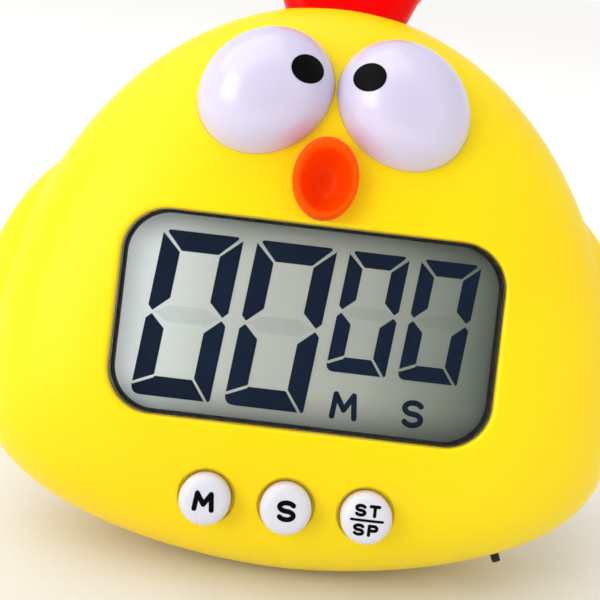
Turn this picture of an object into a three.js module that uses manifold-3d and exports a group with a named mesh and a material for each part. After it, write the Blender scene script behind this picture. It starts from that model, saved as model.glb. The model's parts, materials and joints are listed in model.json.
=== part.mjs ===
// Chick-shaped digital kitchen timer, standing on its lower edge and a fold-out stand.
//
// Everything is drawn in the timer's own frame: x to the right, y up the face and z out
// of the face, with z = 0 at the flat back. The whole timer is then leaned back and set
// on the floor, so that the origin is the middle of the small flat it stands on.

import * as THREE from 'three';
import { mergeVertices } from 'three/addons/utils/BufferGeometryUtils.js';
import Module from 'manifold-3d';

const wasm = await Module();
wasm.setup();

// ---- driving dimensions, in millimetres and degrees -------------------------------

const LEAN = THREE.MathUtils.degToRad(20);
const GAP = 0.3;

const BODY = { half: 42.7, top: 54.7, low: 21.9, waist: -14.55, lowPowers: [1.8, 2.5] };
const HUB = { x: 0, y: -6 };
const WING = { x: 16.9, y: -5, radius: 27.9, rise: 6.5, flatness: 4 };
const PARTING = 9.5;
const FACE_RISE = 11.7;
const FACE_FLATNESS = 4.6;
const BACK_ROUND = 6;
const WALL = 2;
const BACK_WALL = 1.8;

const FLOOR_CUT = 0.3;
const FLOOR_ANGLE = Math.atan(Math.tan(LEAN) * PARTING / BACK_ROUND);

const WINDOW = { x: 0, y: -3.4, width: 48.9, height: 26.1, corner: 5.9 };
const LENS = { low: 18.6, high: 20.2 };
const GLASS = { low: -17.7, width: 51.6, height: 29, thick: 1.1, ledge: 2.5, front: 15.5, rear: 14.2 };

const EYE = { x: 8.68, y: 25.6, long: 8.95, short: 7.75, tilt: 40, base: 18, rise: 7.5, wall: 1.2 };
const BEAK = { x: 0.1, y: 15.2, width: 8.24, height: 10.3, throat: [3.2, 3.6] };
const COMB = { x: 0.5, low: 6.9, high: 12.9 };

const BUTTON = { y: -26, radius: 3.22, hole: 3.6, top: 22.9 };
const BUTTONS = [['minute', -10.2], ['second', -0.05], ['start_stop', 10.05]];

const BOARD = { low: 8.8, high: 10 };
const CELL = { y: 16, z: 7.4, radius: 5.25, left: -21.6, shoulder: 22.1, tip: 22.9 };
const BAY = { half: 25.3, inner: 5.7, outer: 6.9 };
const DOOR = { half: 26.6, low: 9.4, high: 22.6, thick: 1.35, tab: 12 };

const STAND = { y: 2, z: 1.75, half: 8, thick: 2.2, barrel: 1.4, pin: 1 };
const STAND_OPEN = THREE.MathUtils.degToRad(28);
const MAGNET = { x: 26, y: 2, radius: 5 };
const BUZZER = { x: -20.5, y: -17, radius: 8.5 };
const SWITCH = { x: 29.1, travel: 2 };

const CASE_SCREWS = [[20, 28.5], [-20, 28.5], [33.5, -16], [-33.5, -16]];
const BOARD_SCREWS = [[29.6, 3], [-29.6, 3], [20, -22.5], [-20, -22.5]];

// ---- finishes ---------------------------------------------------------------------

function finish(color, roughness, metalness = 0) {
  return new THREE.MeshStandardMaterial({ color, roughness, metalness });
}

const YELLOW = 0xffe016;
const RED = 0xe8110a;
const ORANGE = 0xff5a05;
const WHITE = 0xf1eef9;
const BLACK = 0x141414;
const STEEL = 0xb9bcc0;
const BRASS = 0xc9a24a;

// ---- solids -----------------------------------------------------------------------

function solid(geometry) {
  geometry.deleteAttribute('normal');
  geometry.deleteAttribute('uv');
  const merged = mergeVertices(geometry, 1e-4);
  const vertProperties = new Float32Array(merged.attributes.position.array);
  const triVerts = new Uint32Array(merged.index.array);
  return new wasm.Manifold(new wasm.Mesh({ numProp: 3, vertProperties, triVerts }));
}

function join(pieces) {
  return pieces.reduce((sum, piece) => sum.add(piece));
}

function block(x0, x1, y0, y1, z0, z1) {
  const box = new THREE.BoxGeometry(x1 - x0, y1 - y0, z1 - z0);
  box.translate((x0 + x1) / 2, (y0 + y1) / 2, (z0 + z1) / 2);
  return solid(box);
}

function rod(x, y, radius, z0, z1, sides = 16) {
  const cylinder = new THREE.CylinderGeometry(radius, radius, z1 - z0, sides);
  cylinder.rotateX(Math.PI / 2);
  cylinder.translate(x, y, (z0 + z1) / 2);
  return solid(cylinder);
}

function crossRod(x0, x1, y, z, radius, sides = 12) {
  const cylinder = new THREE.CylinderGeometry(radius, radius, x1 - x0, sides);
  cylinder.rotateZ(Math.PI / 2);
  cylinder.translate((x0 + x1) / 2, y, z);
  return solid(cylinder);
}

function slab(shape, z0, z1) {
  const options = { depth: z1 - z0, bevelEnabled: false, curveSegments: 4 };
  const plate = new THREE.ExtrudeGeometry(shape, options);
  plate.translate(0, 0, z0);
  return solid(plate);
}

function roundedPlate(box, grow, z0, z1) {
  const right = box.width / 2 + grow;
  const up = box.height / 2 + grow;
  const corner = Math.max(box.corner + grow, 0.2);
  const quarter = Math.PI / 2;
  const shape = new THREE.Shape();
  shape.absarc(box.x + right - corner, box.y + up - corner, corner, 0, quarter);
  shape.absarc(box.x - right + corner, box.y + up - corner, corner, quarter, 2 * quarter);
  shape.absarc(box.x - right + corner, box.y - up + corner, corner, 2 * quarter, 3 * quarter);
  shape.absarc(box.x + right - corner, box.y - up + corner, corner, 3 * quarter, 4 * quarter);
  return slab(shape, z0, z1);
}

// A solid whose level outlines are one outline, shrunk. Each row of the profile is
// [scale, inset, z]; it runs from the pole at the bottom to the pole at the top.
function lofted({ hub, reach, profile, sectors }) {
  const points = [];
  const faces = [];
  const rings = profile.slice(1, -1);
  points.push(hub.x, hub.y, profile[0][2]);
  for (const [scale, inset, z] of rings) {
    for (let i = 0; i < sectors; i += 1) {
      const angle = 2 * Math.PI * i / sectors;
      const out = reach(angle) * scale - inset;
      points.push(hub.x + out * Math.cos(angle), hub.y + out * Math.sin(angle), z);
    }
  }
  points.push(hub.x, hub.y, profile.at(-1)[2]);
  const last = points.length / 3 - 1;
  for (let i = 0; i < sectors; i += 1) {
    const next = (i + 1) % sectors;
    faces.push(0, 1 + next, 1 + i);
    for (let k = 0; k < rings.length - 1; k += 1) {
      const low = 1 + k * sectors;
      const high = low + sectors;
      faces.push(low + i, low + next, high + next);
      faces.push(low + i, high + next, high + i);
    }
    const top = 1 + (rings.length - 1) * sectors;
    faces.push(last, top + i, top + next);
  }
  const geometry = new THREE.BufferGeometry();
  geometry.setAttribute('position', new THREE.Float32BufferAttribute(points, 3));
  geometry.setIndex(faces);
  return solid(geometry);
}

function tube(points, radius, steps) {
  const path = new THREE.CatmullRomCurve3(points.map((p) => new THREE.Vector3(...p)));
  const section = new THREE.Shape();
  section.absarc(0, 0, radius, 0, 2 * Math.PI);
  return solid(new THREE.ExtrudeGeometry(section, { steps, extrudePath: path, curveSegments: 3 }));
}

// ---- outlines ---------------------------------------------------------------------

// The body's outline: an upper half ellipse over a flatter, squarer lower half.
function insideBody(x, y) {
  const rise = y - BODY.waist;
  if (rise > 0) {
    return (x / BODY.half) ** 2 + (rise / BODY.top) ** 2 < 1;
  }
  const [across, down] = BODY.lowPowers;
  return Math.abs(x / BODY.half) ** across + Math.abs(rise / BODY.low) ** down < 1;
}

function bodyReach(angle) {
  let near = 0;
  let far = 80;
  for (let i = 0; i < 40; i += 1) {
    const middle = (near + far) / 2;
    if (insideBody(HUB.x + middle * Math.cos(angle), HUB.y + middle * Math.sin(angle))) {
      near = middle;
    } else {
      far = middle;
    }
  }
  return near;
}

function wingReach() {
  return WING.radius;
}

function ellipseReach(long, short, tilt) {
  return (angle) => {
    const turned = angle - THREE.MathUtils.degToRad(tilt);
    return 1 / Math.hypot(Math.cos(turned) / long, Math.sin(turned) / short);
  };
}

// ---- casing domes -----------------------------------------------------------------

const SKIN_STEPS = [1, 0.985, 0.955, 0.9, 0.82, 0.7, 0.5];
const HOLLOW_STEPS = [1, 0.96, 0.88, 0.76, 0.56];
const SKIN_ANGLES = [0, 15, 30, 45, 60, 75, 90];
const HOLLOW_ANGLES = [0, 30, 60, 90];

function sectorsFor(hub, inset) {
  if (hub !== HUB) {
    return 28;
  }
  return inset > 0 ? 36 : 52;
}

function bulge(hub, reach, rise, flatness, inset, skirt) {
  const height = rise - inset;
  const steps = inset > 0 ? HOLLOW_STEPS : SKIN_STEPS;
  const sectors = sectorsFor(hub, inset);
  const profile = [[0, 0, PARTING - skirt]];
  if (skirt > 0) {
    profile.push([1, inset, PARTING - skirt]);
  }
  for (const scale of steps) {
    profile.push([scale, inset, PARTING + height * Math.sqrt(1 - scale ** flatness)]);
  }
  profile.push([0, 0, PARTING + height]);
  return lofted({ hub, reach, profile, sectors });
}

// The rear half: its wall rounds over in a quarter ellipse to a flat back at z = back.
function roundedBack(hub, reach, back, inset, skirt) {
  const depth = PARTING - back;
  const angles = inset > 0 ? HOLLOW_ANGLES : SKIN_ANGLES;
  const sectors = sectorsFor(hub, inset);
  const profile = [[0, 0, back]];
  for (const degrees of angles.toReversed()) {
    const angle = THREE.MathUtils.degToRad(degrees);
    profile.push([1, inset + BACK_ROUND * (1 - Math.cos(angle)), PARTING - depth * Math.sin(angle)]);
  }
  if (skirt > 0) {
    profile.push([1, inset, PARTING + skirt]);
  }
  profile.push([0, 0, PARTING + skirt]);
  return lofted({ hub, reach, profile, sectors });
}

const WING_HUBS = [{ x: WING.x, y: WING.y }, { x: -WING.x, y: WING.y }];
const PARTING_GAP = 0.15;

// ---- where the slide switch comes out of the lower right edge ---------------------

function edgePoint(x) {
  const [across, down] = BODY.lowPowers;
  const drop = BODY.low * (1 - (x / BODY.half) ** across) ** (1 / down);
  const slopeX = across / BODY.half * (x / BODY.half) ** (across - 1);
  const slopeY = down / BODY.low * (drop / BODY.low) ** (down - 1);
  const normal = new THREE.Vector3(slopeX, -slopeY, 0).normalize();
  return { point: new THREE.Vector3(x, BODY.waist - drop, PARTING), normal };
}

const EDGE = edgePoint(SWITCH.x);

// A block in the slide switch's own frame: along the edge, out of the edge, and z.
function edgeBlock(along0, along1, out0, out1, z0, z1) {
  const box = new THREE.BoxGeometry(along1 - along0, out1 - out0, z1 - z0);
  box.translate((along0 + along1) / 2, (out0 + out1) / 2, (z0 + z1) / 2);
  const frame = new THREE.Matrix4().makeRotationZ(Math.atan2(-EDGE.normal.x, EDGE.normal.y));
  frame.setPosition(EDGE.point);
  box.applyMatrix4(frame);
  return solid(box);
}

const knobSlot = edgeBlock(-0.9, 0.9 + SWITCH.travel, -4, 2, -0.9, 0.9);

// ---- comb -------------------------------------------------------------------------

function combOutline(grow) {
  const neck = new THREE.Shape();
  neck.moveTo(COMB.x - 5.6 - grow, 34.4);
  neck.lineTo(COMB.x + 5.6 + grow, 34.4);
  neck.lineTo(COMB.x + 8.4 + grow, 39.4);
  neck.lineTo(COMB.x + 11.1 + grow, 46);
  neck.lineTo(COMB.x - 11.1 - grow, 46);
  neck.lineTo(COMB.x - 8.4 - grow, 39.4);
  return neck;
}

const COMB_LOBES = [[-7.3, 45.6, 3.9], [0, 47.7, 4.7], [7.3, 45.6, 3.9]];

function makeComb() {
  const lobes = COMB_LOBES.map(([x, y, r]) => rod(COMB.x + x, y, r, COMB.low, COMB.high, 24));
  const foot = block(COMB.x - 8.5, COMB.x + 8.5, 32.6, 34.6, 7.8, 12);
  return join([slab(combOutline(0), COMB.low, COMB.high), foot, ...lobes]);
}

const combSlot = slab(combOutline(GAP), COMB.low - GAP, COMB.high + GAP);

// ---- front shell ------------------------------------------------------------------

function makeFrontShell() {
  const outer = bulge(HUB, bodyReach, FACE_RISE, FACE_FLATNESS, 0, 0);
  const wings = WING_HUBS.map((hub) => bulge(hub, wingReach, WING.rise, WING.flatness, 0, 0));
  const hollow = bulge(HUB, bodyReach, FACE_RISE, FACE_FLATNESS, WALL, 1);
  const bosses = [
    ...CASE_SCREWS.map(([x, y]) => rod(x, y, 2.6, PARTING - 2, 25, 14)),
    ...BOARD_SCREWS.map(([x, y]) => rod(x, y, 1.9, BOARD.high + GAP, 25, 12)),
  ];
  const bores = [
    ...CASE_SCREWS.map(([x, y]) => rod(x, y, 1.4, PARTING - 3, 13.4, 12)),
    ...BOARD_SCREWS.map(([x, y]) => rod(x, y, 1.2, PARTING - 3, 13.4, 10)),
  ];
  const cuts = [
    roundedPlate(WINDOW, 0, PARTING, 30),
    ...[EYE.x, -EYE.x].map((x) => eyeRod(x, GAP)),
    ovalRod(BEAK.x, BEAK.y, BEAK.throat[0] + GAP, BEAK.throat[1] + GAP, PARTING, 30),
    ...BUTTONS.map(([, x]) => rod(x, BUTTON.y, BUTTON.hole, PARTING, 30, 24)),
    combSlot,
    knobSlot,
    block(-60, 60, -60, 60, 0, PARTING + PARTING_GAP),
    ...bores,
  ];
  const skin = join([outer, ...wings]);
  return skin.subtract(hollow.subtract(join(bosses))).subtract(join(cuts));
}

function ovalRod(x, y, long, short, z0, z1, tilt = 0) {
  const profile = [[0, 0, z0], [1, 0, z0], [1, 0, z1], [0, 0, z1]];
  return lofted({ hub: { x, y }, reach: ellipseReach(long, short, tilt), profile, sectors: 24 });
}

function eyeRod(x, grow) {
  const tilt = x < 0 ? EYE.tilt : -EYE.tilt;
  return ovalRod(x, EYE.y, EYE.long + grow, EYE.short + grow, PARTING, 30, tilt);
}

// ---- rear shell -------------------------------------------------------------------

// A channel round the cell: a half-round roof on straight walls, open at the back.
function bayChannel(radius, half, bottom) {
  const section = new THREE.Shape();
  section.moveTo(bottom, CELL.y - radius);
  section.lineTo(CELL.z, CELL.y - radius);
  section.absarc(CELL.z, CELL.y, radius, -Math.PI / 2, Math.PI / 2);
  section.lineTo(bottom, CELL.y + radius);
  const options = { depth: 2 * half, bevelEnabled: false, curveSegments: 10 };
  const channel = new THREE.ExtrudeGeometry(section, options);
  channel.translate(0, 0, -half);
  // The section was drawn as (z, y): a quarter turn about y lays its depth along x.
  channel.rotateY(-Math.PI / 2);
  return solid(channel);
}

function makeRearShell() {
  const outer = roundedBack(HUB, bodyReach, 0, 0, 0);
  const wings = WING_HUBS.map((hub) => roundedBack(hub, wingReach, 3, 0, 0));
  const hollow = roundedBack(HUB, bodyReach, BACK_WALL, BACK_WALL, 1);
  const fills = [
    block(-STAND.half - 2.4, STAND.half + 2.4, -60, STAND.y + 3.5, 0, 4.8),
    ...CASE_SCREWS.map(([x, y]) => rod(x, y, 3.6, 0, PARTING - 0.5, 16)),
    ...[MAGNET.x, -MAGNET.x].map((x) => rod(x, MAGNET.y, MAGNET.radius + 1.6, 0, 4.2, 20)),
    rod(BUZZER.x, BUZZER.y, BUZZER.radius, 0, 4, 24),
    bayChannel(BAY.outer, BAY.half + 1.2, 0),
  ];
  const holes = [[0, 0], [3, 0], [-3, 0], [0, 3], [0, -3]];
  const cuts = [
    block(-STAND.half - 0.4, STAND.half + 0.4, -60, STAND.y + 1.9, -1, 3.3),
    crossRod(-STAND.half - 1.7, STAND.half + 1.7, STAND.y, STAND.z, STAND.pin + GAP),
    ...CASE_SCREWS.map(([x, y]) => rod(x, y, 2.7, -1, 2.9, 16)),
    ...CASE_SCREWS.map(([x, y]) => rod(x, y, 1.4, 2, PARTING + 1, 12)),
    ...[MAGNET.x, -MAGNET.x].map((x) => rod(x, MAGNET.y, MAGNET.radius + GAP, -1, 2.7, 20)),
    rod(BUZZER.x, BUZZER.y, BUZZER.radius - 1.2, BACK_WALL, 6, 24),
    ...holes.map(([x, y]) => rod(BUZZER.x + x, BUZZER.y + y, 0.7, -1, 3, 10)),
    bayChannel(BAY.inner, BAY.half, -1),
    roundedPlate(doorBox(), GAP, -1, DOOR.thick + 0.35),
    ...[DOOR.tab, -DOOR.tab].map((x) => block(x - 2.4, x + 2.4, 8, 12.5, 1.5, 4.4)),
    ...[24.6, -24.8].map((x) => block(x - 0.9, x + 0.9, 8, 12, 7.1, 8.9)),
    combSlot,
    knobSlot,
    floorBlock(),
  ];
  const rim = block(-60, 60, -60, 60, PARTING - PARTING_GAP, PARTING + 1);
  const shell = join([outer, ...wings]).subtract(hollow.subtract(join(fills))).subtract(rim);
  const roof = bayChannel(BAY.outer, BAY.half + 1.2, CELL.z);
  return shell.add(roof).subtract(join(cuts));
}

function doorBox() {
  const y = (DOOR.low + DOOR.high) / 2;
  return { x: 0, y, width: 2 * DOOR.half, height: DOOR.high - DOOR.low, corner: 3.5 };
}

// ---- the flat the timer stands on -------------------------------------------------

// The back edge touches a floor leaned by LEAN at FLOOR_ANGLE round its quarter ellipse;
// the flat is FLOOR_CUT above that touching point.
const BODY_FOOT = BODY.waist - BODY.low;
const LAND = {
  y: BODY_FOOT + BACK_ROUND * (1 - Math.cos(FLOOR_ANGLE)) + FLOOR_CUT * Math.cos(LEAN),
  z: PARTING - PARTING * Math.sin(FLOOR_ANGLE) + FLOOR_CUT * Math.sin(LEAN),
};

function floorBlock() {
  const under = new THREE.BoxGeometry(60, 10, 40);
  under.translate(0, -5, 0);
  under.rotateX(LEAN);
  under.translate(0, LAND.y, LAND.z);
  return solid(under);
}

// ---- eyes, beak -------------------------------------------------------------------

function makeEye(x) {
  const tilt = x < 0 ? EYE.tilt : -EYE.tilt;
  const reach = ellipseReach(EYE.long, EYE.short, tilt);
  const hub = { x, y: EYE.y };
  const steps = [0, 28, 52, 70, 82, 90];
  const dome = (inset, degrees) => {
    const angle = THREE.MathUtils.degToRad(degrees);
    const scale = Math.cos(angle) ** 0.82;
    return [scale, inset * scale, EYE.base + (EYE.rise - inset) * Math.sin(angle) ** 0.9];
  };
  const low = 15.9;
  const profile = [
    ...steps.toReversed().map((degrees) => dome(EYE.wall, degrees)),
    [1, EYE.wall, low],
    [1, 0, low],
    ...steps.map((degrees) => dome(0, degrees)),
  ];
  const cup = lofted({ hub, reach, profile, sectors: 24 });
  const flange = ovalRod(x, EYE.y, EYE.long + 0.6, EYE.short + 0.6, 14.7, low + 0.1, tilt);
  const opening = ovalRod(x, EYE.y, EYE.long - EYE.wall, EYE.short - EYE.wall, 14, 17, tilt);
  const cavity = bulge(HUB, bodyReach, FACE_RISE, FACE_FLATNESS, WALL + GAP, 0);
  const side = x < 0 ? block(-40, -0.2, -10, 60, 0, 40) : block(0.2, 40, -10, 60, 0, 40);
  return cup.add(flange.intersect(cavity).intersect(side).subtract(opening));
}

function makeBeak() {
  const reach = ellipseReach(BEAK.width / 2, BEAK.height / 2, 0);
  const [throatX, throatY] = BEAK.throat;
  const profile = [
    [0, 0, 21.5], [0.93, 0, 21.5], [1, 0, 22], [1, 0, 23], [0.97, 0, 23.7], [0.89, 0, 24.1],
    [0.81, 0, 23.8], [0.72, 0, 22.8], [0.5, 0, 21.2], [0.25, 0, 20.6], [0, 0, 20.4],
  ];
  const lips = lofted({ hub: BEAK, reach, profile, sectors: 20 });
  const throat = ovalRod(BEAK.x, BEAK.y, throatX, throatY, 16.2, 22);
  const flange = ovalRod(BEAK.x, BEAK.y, throatX + 1.4, throatY - 0.1, 15.4, 16.4);
  const bowl = lofted({
    hub: BEAK,
    reach,
    profile: [[0, 0, 20.4], [0.25, 0, 20.6], [0.5, 0, 21.2], [0.72, 0, 22.8], [0.81, 0, 23.8],
      [0.85, 0, 26], [0, 0, 26]],
    sectors: 20,
  });
  const core = ovalRod(BEAK.x, BEAK.y, BEAK.width / 2 * 0.72, BEAK.height / 2 * 0.72, 20, 22.6);
  return throat.add(flange).add(core).add(lips).subtract(bowl);
}

// ---- buttons and their switches ---------------------------------------------------

function makeButton(x) {
  const top = BUTTON.top;
  const r = BUTTON.radius;
  const profile = [
    [0, 0, 14.6], [1.5 / r, 0, 14.6], [1.5 / r, 0, 14.9], [4 / r, 0, 14.9], [4 / r, 0, 15.6],
    [1, 0, 15.6], [1, 0, top - 0.75], [0.93, 0, top - 0.3], [0.8, 0, top - 0.08], [0, 0, top],
  ];
  return lofted({ hub: { x, y: BUTTON.y }, reach: () => r, profile, sectors: 18 });
}

function makeSwitchBase(x) {
  const base = block(x - 3, x + 3, BUTTON.y - 3, BUTTON.y + 3, BOARD.high + 0.2, 13.4);
  return base.subtract(rod(x, BUTTON.y, 1.9, 11.9, 14, 14));
}

function makeSwitchStem(x) {
  return rod(x, BUTTON.y, 1.5, 12.7, 14.3, 14);
}

// ---- display ----------------------------------------------------------------------

function glassPlate(z, trim) {
  const { low, width, height, thick } = GLASS;
  return block(-width / 2, width / 2, low + trim, low + height, z, z + thick);
}

function makeHolder() {
  const plate = block(-27.3, 27.3, -15.2, 10.6, 12.2, 13.4);
  const rails = [26.1, -27.3].map((x) => block(x, x + 1.2, -15.2, 10.6, 13.3, 15.2));
  const feet = [[25, -13], [-25, -13], [25, 6], [-25, 6]];
  const legs = feet.map(([x, y]) => rod(x, y, 1.2, BOARD.high + GAP, 12.5, 10));
  return join([plate, ...rails, ...legs]);
}

// ---- circuit board and what is on it ----------------------------------------------

const BOARD_OUTLINE = [
  [-31.8, 8], [-31.8, -6], [-29, -10], [-29, -20], [-24, -29.5], [20.5, -29.5],
  [20.5, -26.5], [29, -19.5], [29, -10], [31.8, -6], [31.8, 8],
];

function makeBoard() {
  const outline = new THREE.Shape(BOARD_OUTLINE.map(([x, y]) => new THREE.Vector2(x, y)));
  const holes = BOARD_SCREWS.map(([x, y]) => rod(x, y, 1.2, 5, 12, 12));
  return slab(outline, BOARD.low, BOARD.high).subtract(join(holes));
}

function makeChipBlob() {
  const z = BOARD.high + 0.2;
  const profile = [
    [0, 0, z], [1, 0, z], [0.9, 0, z + 0.6], [0.65, 0, z + 1.1], [0.35, 0, z + 1.35],
    [0, 0, z + 1.45],
  ];
  return lofted({ hub: { x: 0, y: -4 }, reach: () => 5, profile, sectors: 20 });
}

// ---- battery, contacts, door ------------------------------------------------------

function makeCell() {
  const can = crossRod(CELL.left, CELL.shoulder, CELL.y, CELL.z, CELL.radius, 28);
  return can.add(crossRod(CELL.shoulder - 1, CELL.tip, CELL.y, CELL.z, 1.9, 16));
}

function makeSpring() {
  const turns = 3;
  const points = [];
  for (let i = 0; i <= turns * 8; i += 1) {
    const share = i / (turns * 8);
    const angle = 2 * Math.PI * turns * share;
    const radius = 3.4 - 1.6 * share;
    const across = radius * Math.cos(angle);
    const up = radius * Math.sin(angle);
    points.push([-24 + 2.1 * share, CELL.y + across, CELL.z + up]);
  }
  const plate = block(-24.25, -23.85, 11.6, 20.4, 3, 10.6);
  return plate.add(tube(points, 0.28, 33));
}

function makeDoor() {
  const plate = roundedPlate(doorBox(), 0, 0, DOOR.thick);
  const tabs = [DOOR.tab, -DOOR.tab].map((x) => join([
    block(x - 2, x + 2, 9.5, 10.9, DOOR.thick - 0.2, 2.7),
    block(x - 2, x + 2, 8.3, 10.9, 2.1, 2.7),
  ]));
  const grips = [0, 1, 2].map((i) => block(-5, 5, 19.2 + i * 1.1, 19.7 + i * 1.1, -1, 0.35));
  return join([plate, ...tabs]).subtract(join(grips));
}

// ---- stand ------------------------------------------------------------------------

// Drawn folded, round its hinge: the leg hangs along -y and its tip is cut level with
// the floor that it meets when the stand is open.
function makeStand() {
  const height = STAND.y * Math.cos(LEAN) + STAND.z * Math.sin(LEAN) - landLevel();
  const splay = STAND_OPEN - LEAN;
  const half = STAND.thick / 2;
  const tipAt = (z) => -(height - z * Math.sin(splay)) / Math.cos(splay);
  const side = new THREE.Shape();
  side.moveTo(half, 0);
  side.lineTo(-half, 0);
  side.lineTo(-half, tipAt(-half));
  side.lineTo(half, tipAt(half));
  const leg = new THREE.ExtrudeGeometry(side, { depth: 2 * STAND.half, bevelEnabled: false });
  leg.translate(0, 0, -STAND.half);
  leg.rotateY(-Math.PI / 2);
  const barrel = crossRod(-STAND.half, STAND.half, 0, 0, STAND.barrel, 16);
  const pins = crossRod(-STAND.half - 1.3, STAND.half + 1.3, 0, 0, STAND.pin, 12);
  const tipWindow = block(-3.9, 3.9, -27, -8, -5, 5);
  return solid(leg).subtract(tipWindow).add(barrel).add(pins);
}

function landLevel() {
  return LAND.y * Math.cos(LEAN) + LAND.z * Math.sin(LEAN);
}

// ---- screws -----------------------------------------------------------------------

function makeScrew(x, y, head, shank) {
  const waist = shank.radius / head.radius;
  const profile = [
    [0, 0, head.low], [0.82, 0, head.low], [1, 0, head.low + 0.4], [1, 0, head.high],
    [waist, 0, head.high], [waist, 0, shank.tip - 0.8], [0, 0, shank.tip],
  ];
  const body = lofted({ hub: { x, y }, reach: () => head.radius, profile, sectors: 12 });
  const arm = head.radius * 0.62;
  const bottom = head.low + 0.7;
  const wide = block(x - arm, x + arm, y - 0.3, y + 0.3, head.low - 1, bottom);
  const tall = block(x - 0.3, x + 0.3, y - arm, y + arm, head.low - 1, bottom);
  return body.subtract(wide.add(tall));
}

// ---- assembly ---------------------------------------------------------------------

const timer = new THREE.Group();
timer.rotation.x = Math.PI / 2 - LEAN;
timer.position.y = -(LAND.y * Math.sin(LEAN) - LAND.z * Math.cos(LEAN));
timer.position.z = -landLevel();

function add(name, piece, material, parent = timer) {
  const { vertProperties, triVerts } = piece.getMesh();
  const geometry = new THREE.BufferGeometry();
  geometry.setAttribute('position', new THREE.BufferAttribute(vertProperties, 3));
  geometry.setIndex(new THREE.BufferAttribute(triVerts, 1));
  geometry.computeVertexNormals();
  const mesh = new THREE.Mesh(geometry, material);
  mesh.name = name;
  parent.add(mesh);
}

add('front_shell', makeFrontShell(), finish(YELLOW, 0.3));
add('rear_shell', makeRearShell(), finish(YELLOW, 0.35));
add('comb', makeComb(), finish(RED, 0.3));
add('eye_left', makeEye(-EYE.x), finish(WHITE, 0.15));
add('eye_right', makeEye(EYE.x), finish(WHITE, 0.15));
add('beak', makeBeak(), finish(ORANGE, 0.3));

add('screen_lens', roundedPlate(WINDOW, -GAP, LENS.low, LENS.high), finish(0xe8eeee, 0.05));
const gasketRing = roundedPlate(WINDOW, -GAP, 16.9, 18.3).subtract(roundedPlate(WINDOW, -0.8, 16, 19));
add('screen_gasket', gasketRing, finish(BLACK, 0.8));
add('lcd_front_glass', glassPlate(GLASS.front, 0), finish(0xa7ada5, 0.2));
add('lcd_rear_glass', glassPlate(GLASS.rear, GLASS.ledge), finish(0xa7ada5, 0.2));
add('lcd_reflector', block(-25.8, 25.8, -15.2, 11.2, 13.7, 13.95), finish(0xbfc3ba, 0.5));
add('lcd_holder', makeHolder(), finish(0xf4f4f0, 0.5));
add('zebra_strip', block(-21, 21, -17.6, -15.7, BOARD.high + GAP, 15.2), finish(0x5a5a5e, 0.7));

add('circuit_board', makeBoard(), finish(0x1d6b3a, 0.5));
add('chip_blob', makeChipBlob(), finish(BLACK, 0.4));
add('quartz_crystal', crossRod(6, 12, -3, 7.4, 1, 14), finish(STEEL, 0.3, 1));
add('capacitor', rod(15, -12, 2, 4.9, 8.5, 16), finish(0x2a2a55, 0.4));

for (const [name, x] of BUTTONS) {
  add(`${name}_button`, makeButton(x), finish(WHITE, 0.25));
  add(`${name}_switch_base`, makeSwitchBase(x), finish(0x202022, 0.5));
  add(`${name}_switch_stem`, makeSwitchStem(x), finish(0x8b1f1a, 0.5));
}

add('buzzer_disc', rod(BUZZER.x, BUZZER.y, BUZZER.radius, 4.3, 4.55, 28), finish(BRASS, 0.35, 1));
add('buzzer_ceramic', rod(BUZZER.x, BUZZER.y, 6, 4.85, 5.1, 24), finish(0xe9e4d6, 0.5));

add('slide_switch_frame',
  edgeBlock(-3.25, 5.25, -6.5, -3, -1.75, 1.75).subtract(edgeBlock(-0.9, 2.9, -5.5, 0, -0.9, 0.9)),
  finish(STEEL, 0.35, 1));
add('slide_switch_knob', edgeBlock(-0.6, 0.6, -5, 1.5, -0.6, 0.6), finish(BLACK, 0.6));

add('battery_cell', makeCell(), finish(0x2f4f86, 0.35));
add('battery_spring', makeSpring(), finish(STEEL, 0.3, 1));
add('battery_contact', block(23.25, 23.65, 11.6, 20.4, 3, 10.6), finish(STEEL, 0.3, 1));
add('battery_door', makeDoor(), finish(YELLOW, 0.35));

add('magnet_right', rod(MAGNET.x, MAGNET.y, MAGNET.radius, -0.2, 2.4, 24), finish(0x55565a, 0.4, 1));
add('magnet_left', rod(-MAGNET.x, MAGNET.y, MAGNET.radius, -0.2, 2.4, 24), finish(0x55565a, 0.4, 1));

const standHinge = new THREE.Group();
standHinge.position.set(0, STAND.y, STAND.z);
standHinge.rotation.x = STAND_OPEN;
timer.add(standHinge);
add('stand', makeStand(), finish(YELLOW, 0.35), standHinge);

const caseHead = { radius: 2.3, low: 1.2, high: 2.6 };
const boardHead = { radius: 1.6, low: 7.4, high: 8.5 };
CASE_SCREWS.forEach(([x, y], i) => {
  add(`case_screw_${i + 1}`, makeScrew(x, y, caseHead, { radius: 1, tip: 13 }), finish(STEEL, 0.35, 1));
});
BOARD_SCREWS.forEach(([x, y], i) => {
  add(`board_screw_${i + 1}`, makeScrew(x, y, boardHead, { radius: 0.85, tip: 13 }), finish(STEEL, 0.35, 1));
});

const boardBack = BOARD.low - GAP;
add('battery_wire_red',
  tube([[24.6, 14, 8], [24.6, 11, 8], [24.5, 8.2, 7.9], [23.6, 6, 7.9], [23, 5, boardBack]], 0.45, 14),
  finish(0xb3131b, 0.5));
add('battery_wire_black',
  tube([[-24.8, 14, 8], [-24.8, 11, 8], [-24.6, 8.2, 7.9], [-23.6, 6, 7.9], [-23, 5, boardBack]], 0.45, 14),
  finish(BLACK, 0.5));
add('buzzer_wire_red',
  tube([[-20.5, -16, 5.4], [-19.4, -14, 6.6], [-17.6, -12, 7.4], [-16.6, -11, boardBack]], 0.4, 12),
  finish(0xb3131b, 0.5));
add('buzzer_wire_black',
  tube([[-13.6, -13.4, 4.9], [-13.2, -11.6, 6.2], [-12.8, -9.8, 7.4], [-12.6, -9, boardBack]], 0.4, 12),
  finish(BLACK, 0.5));

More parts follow.
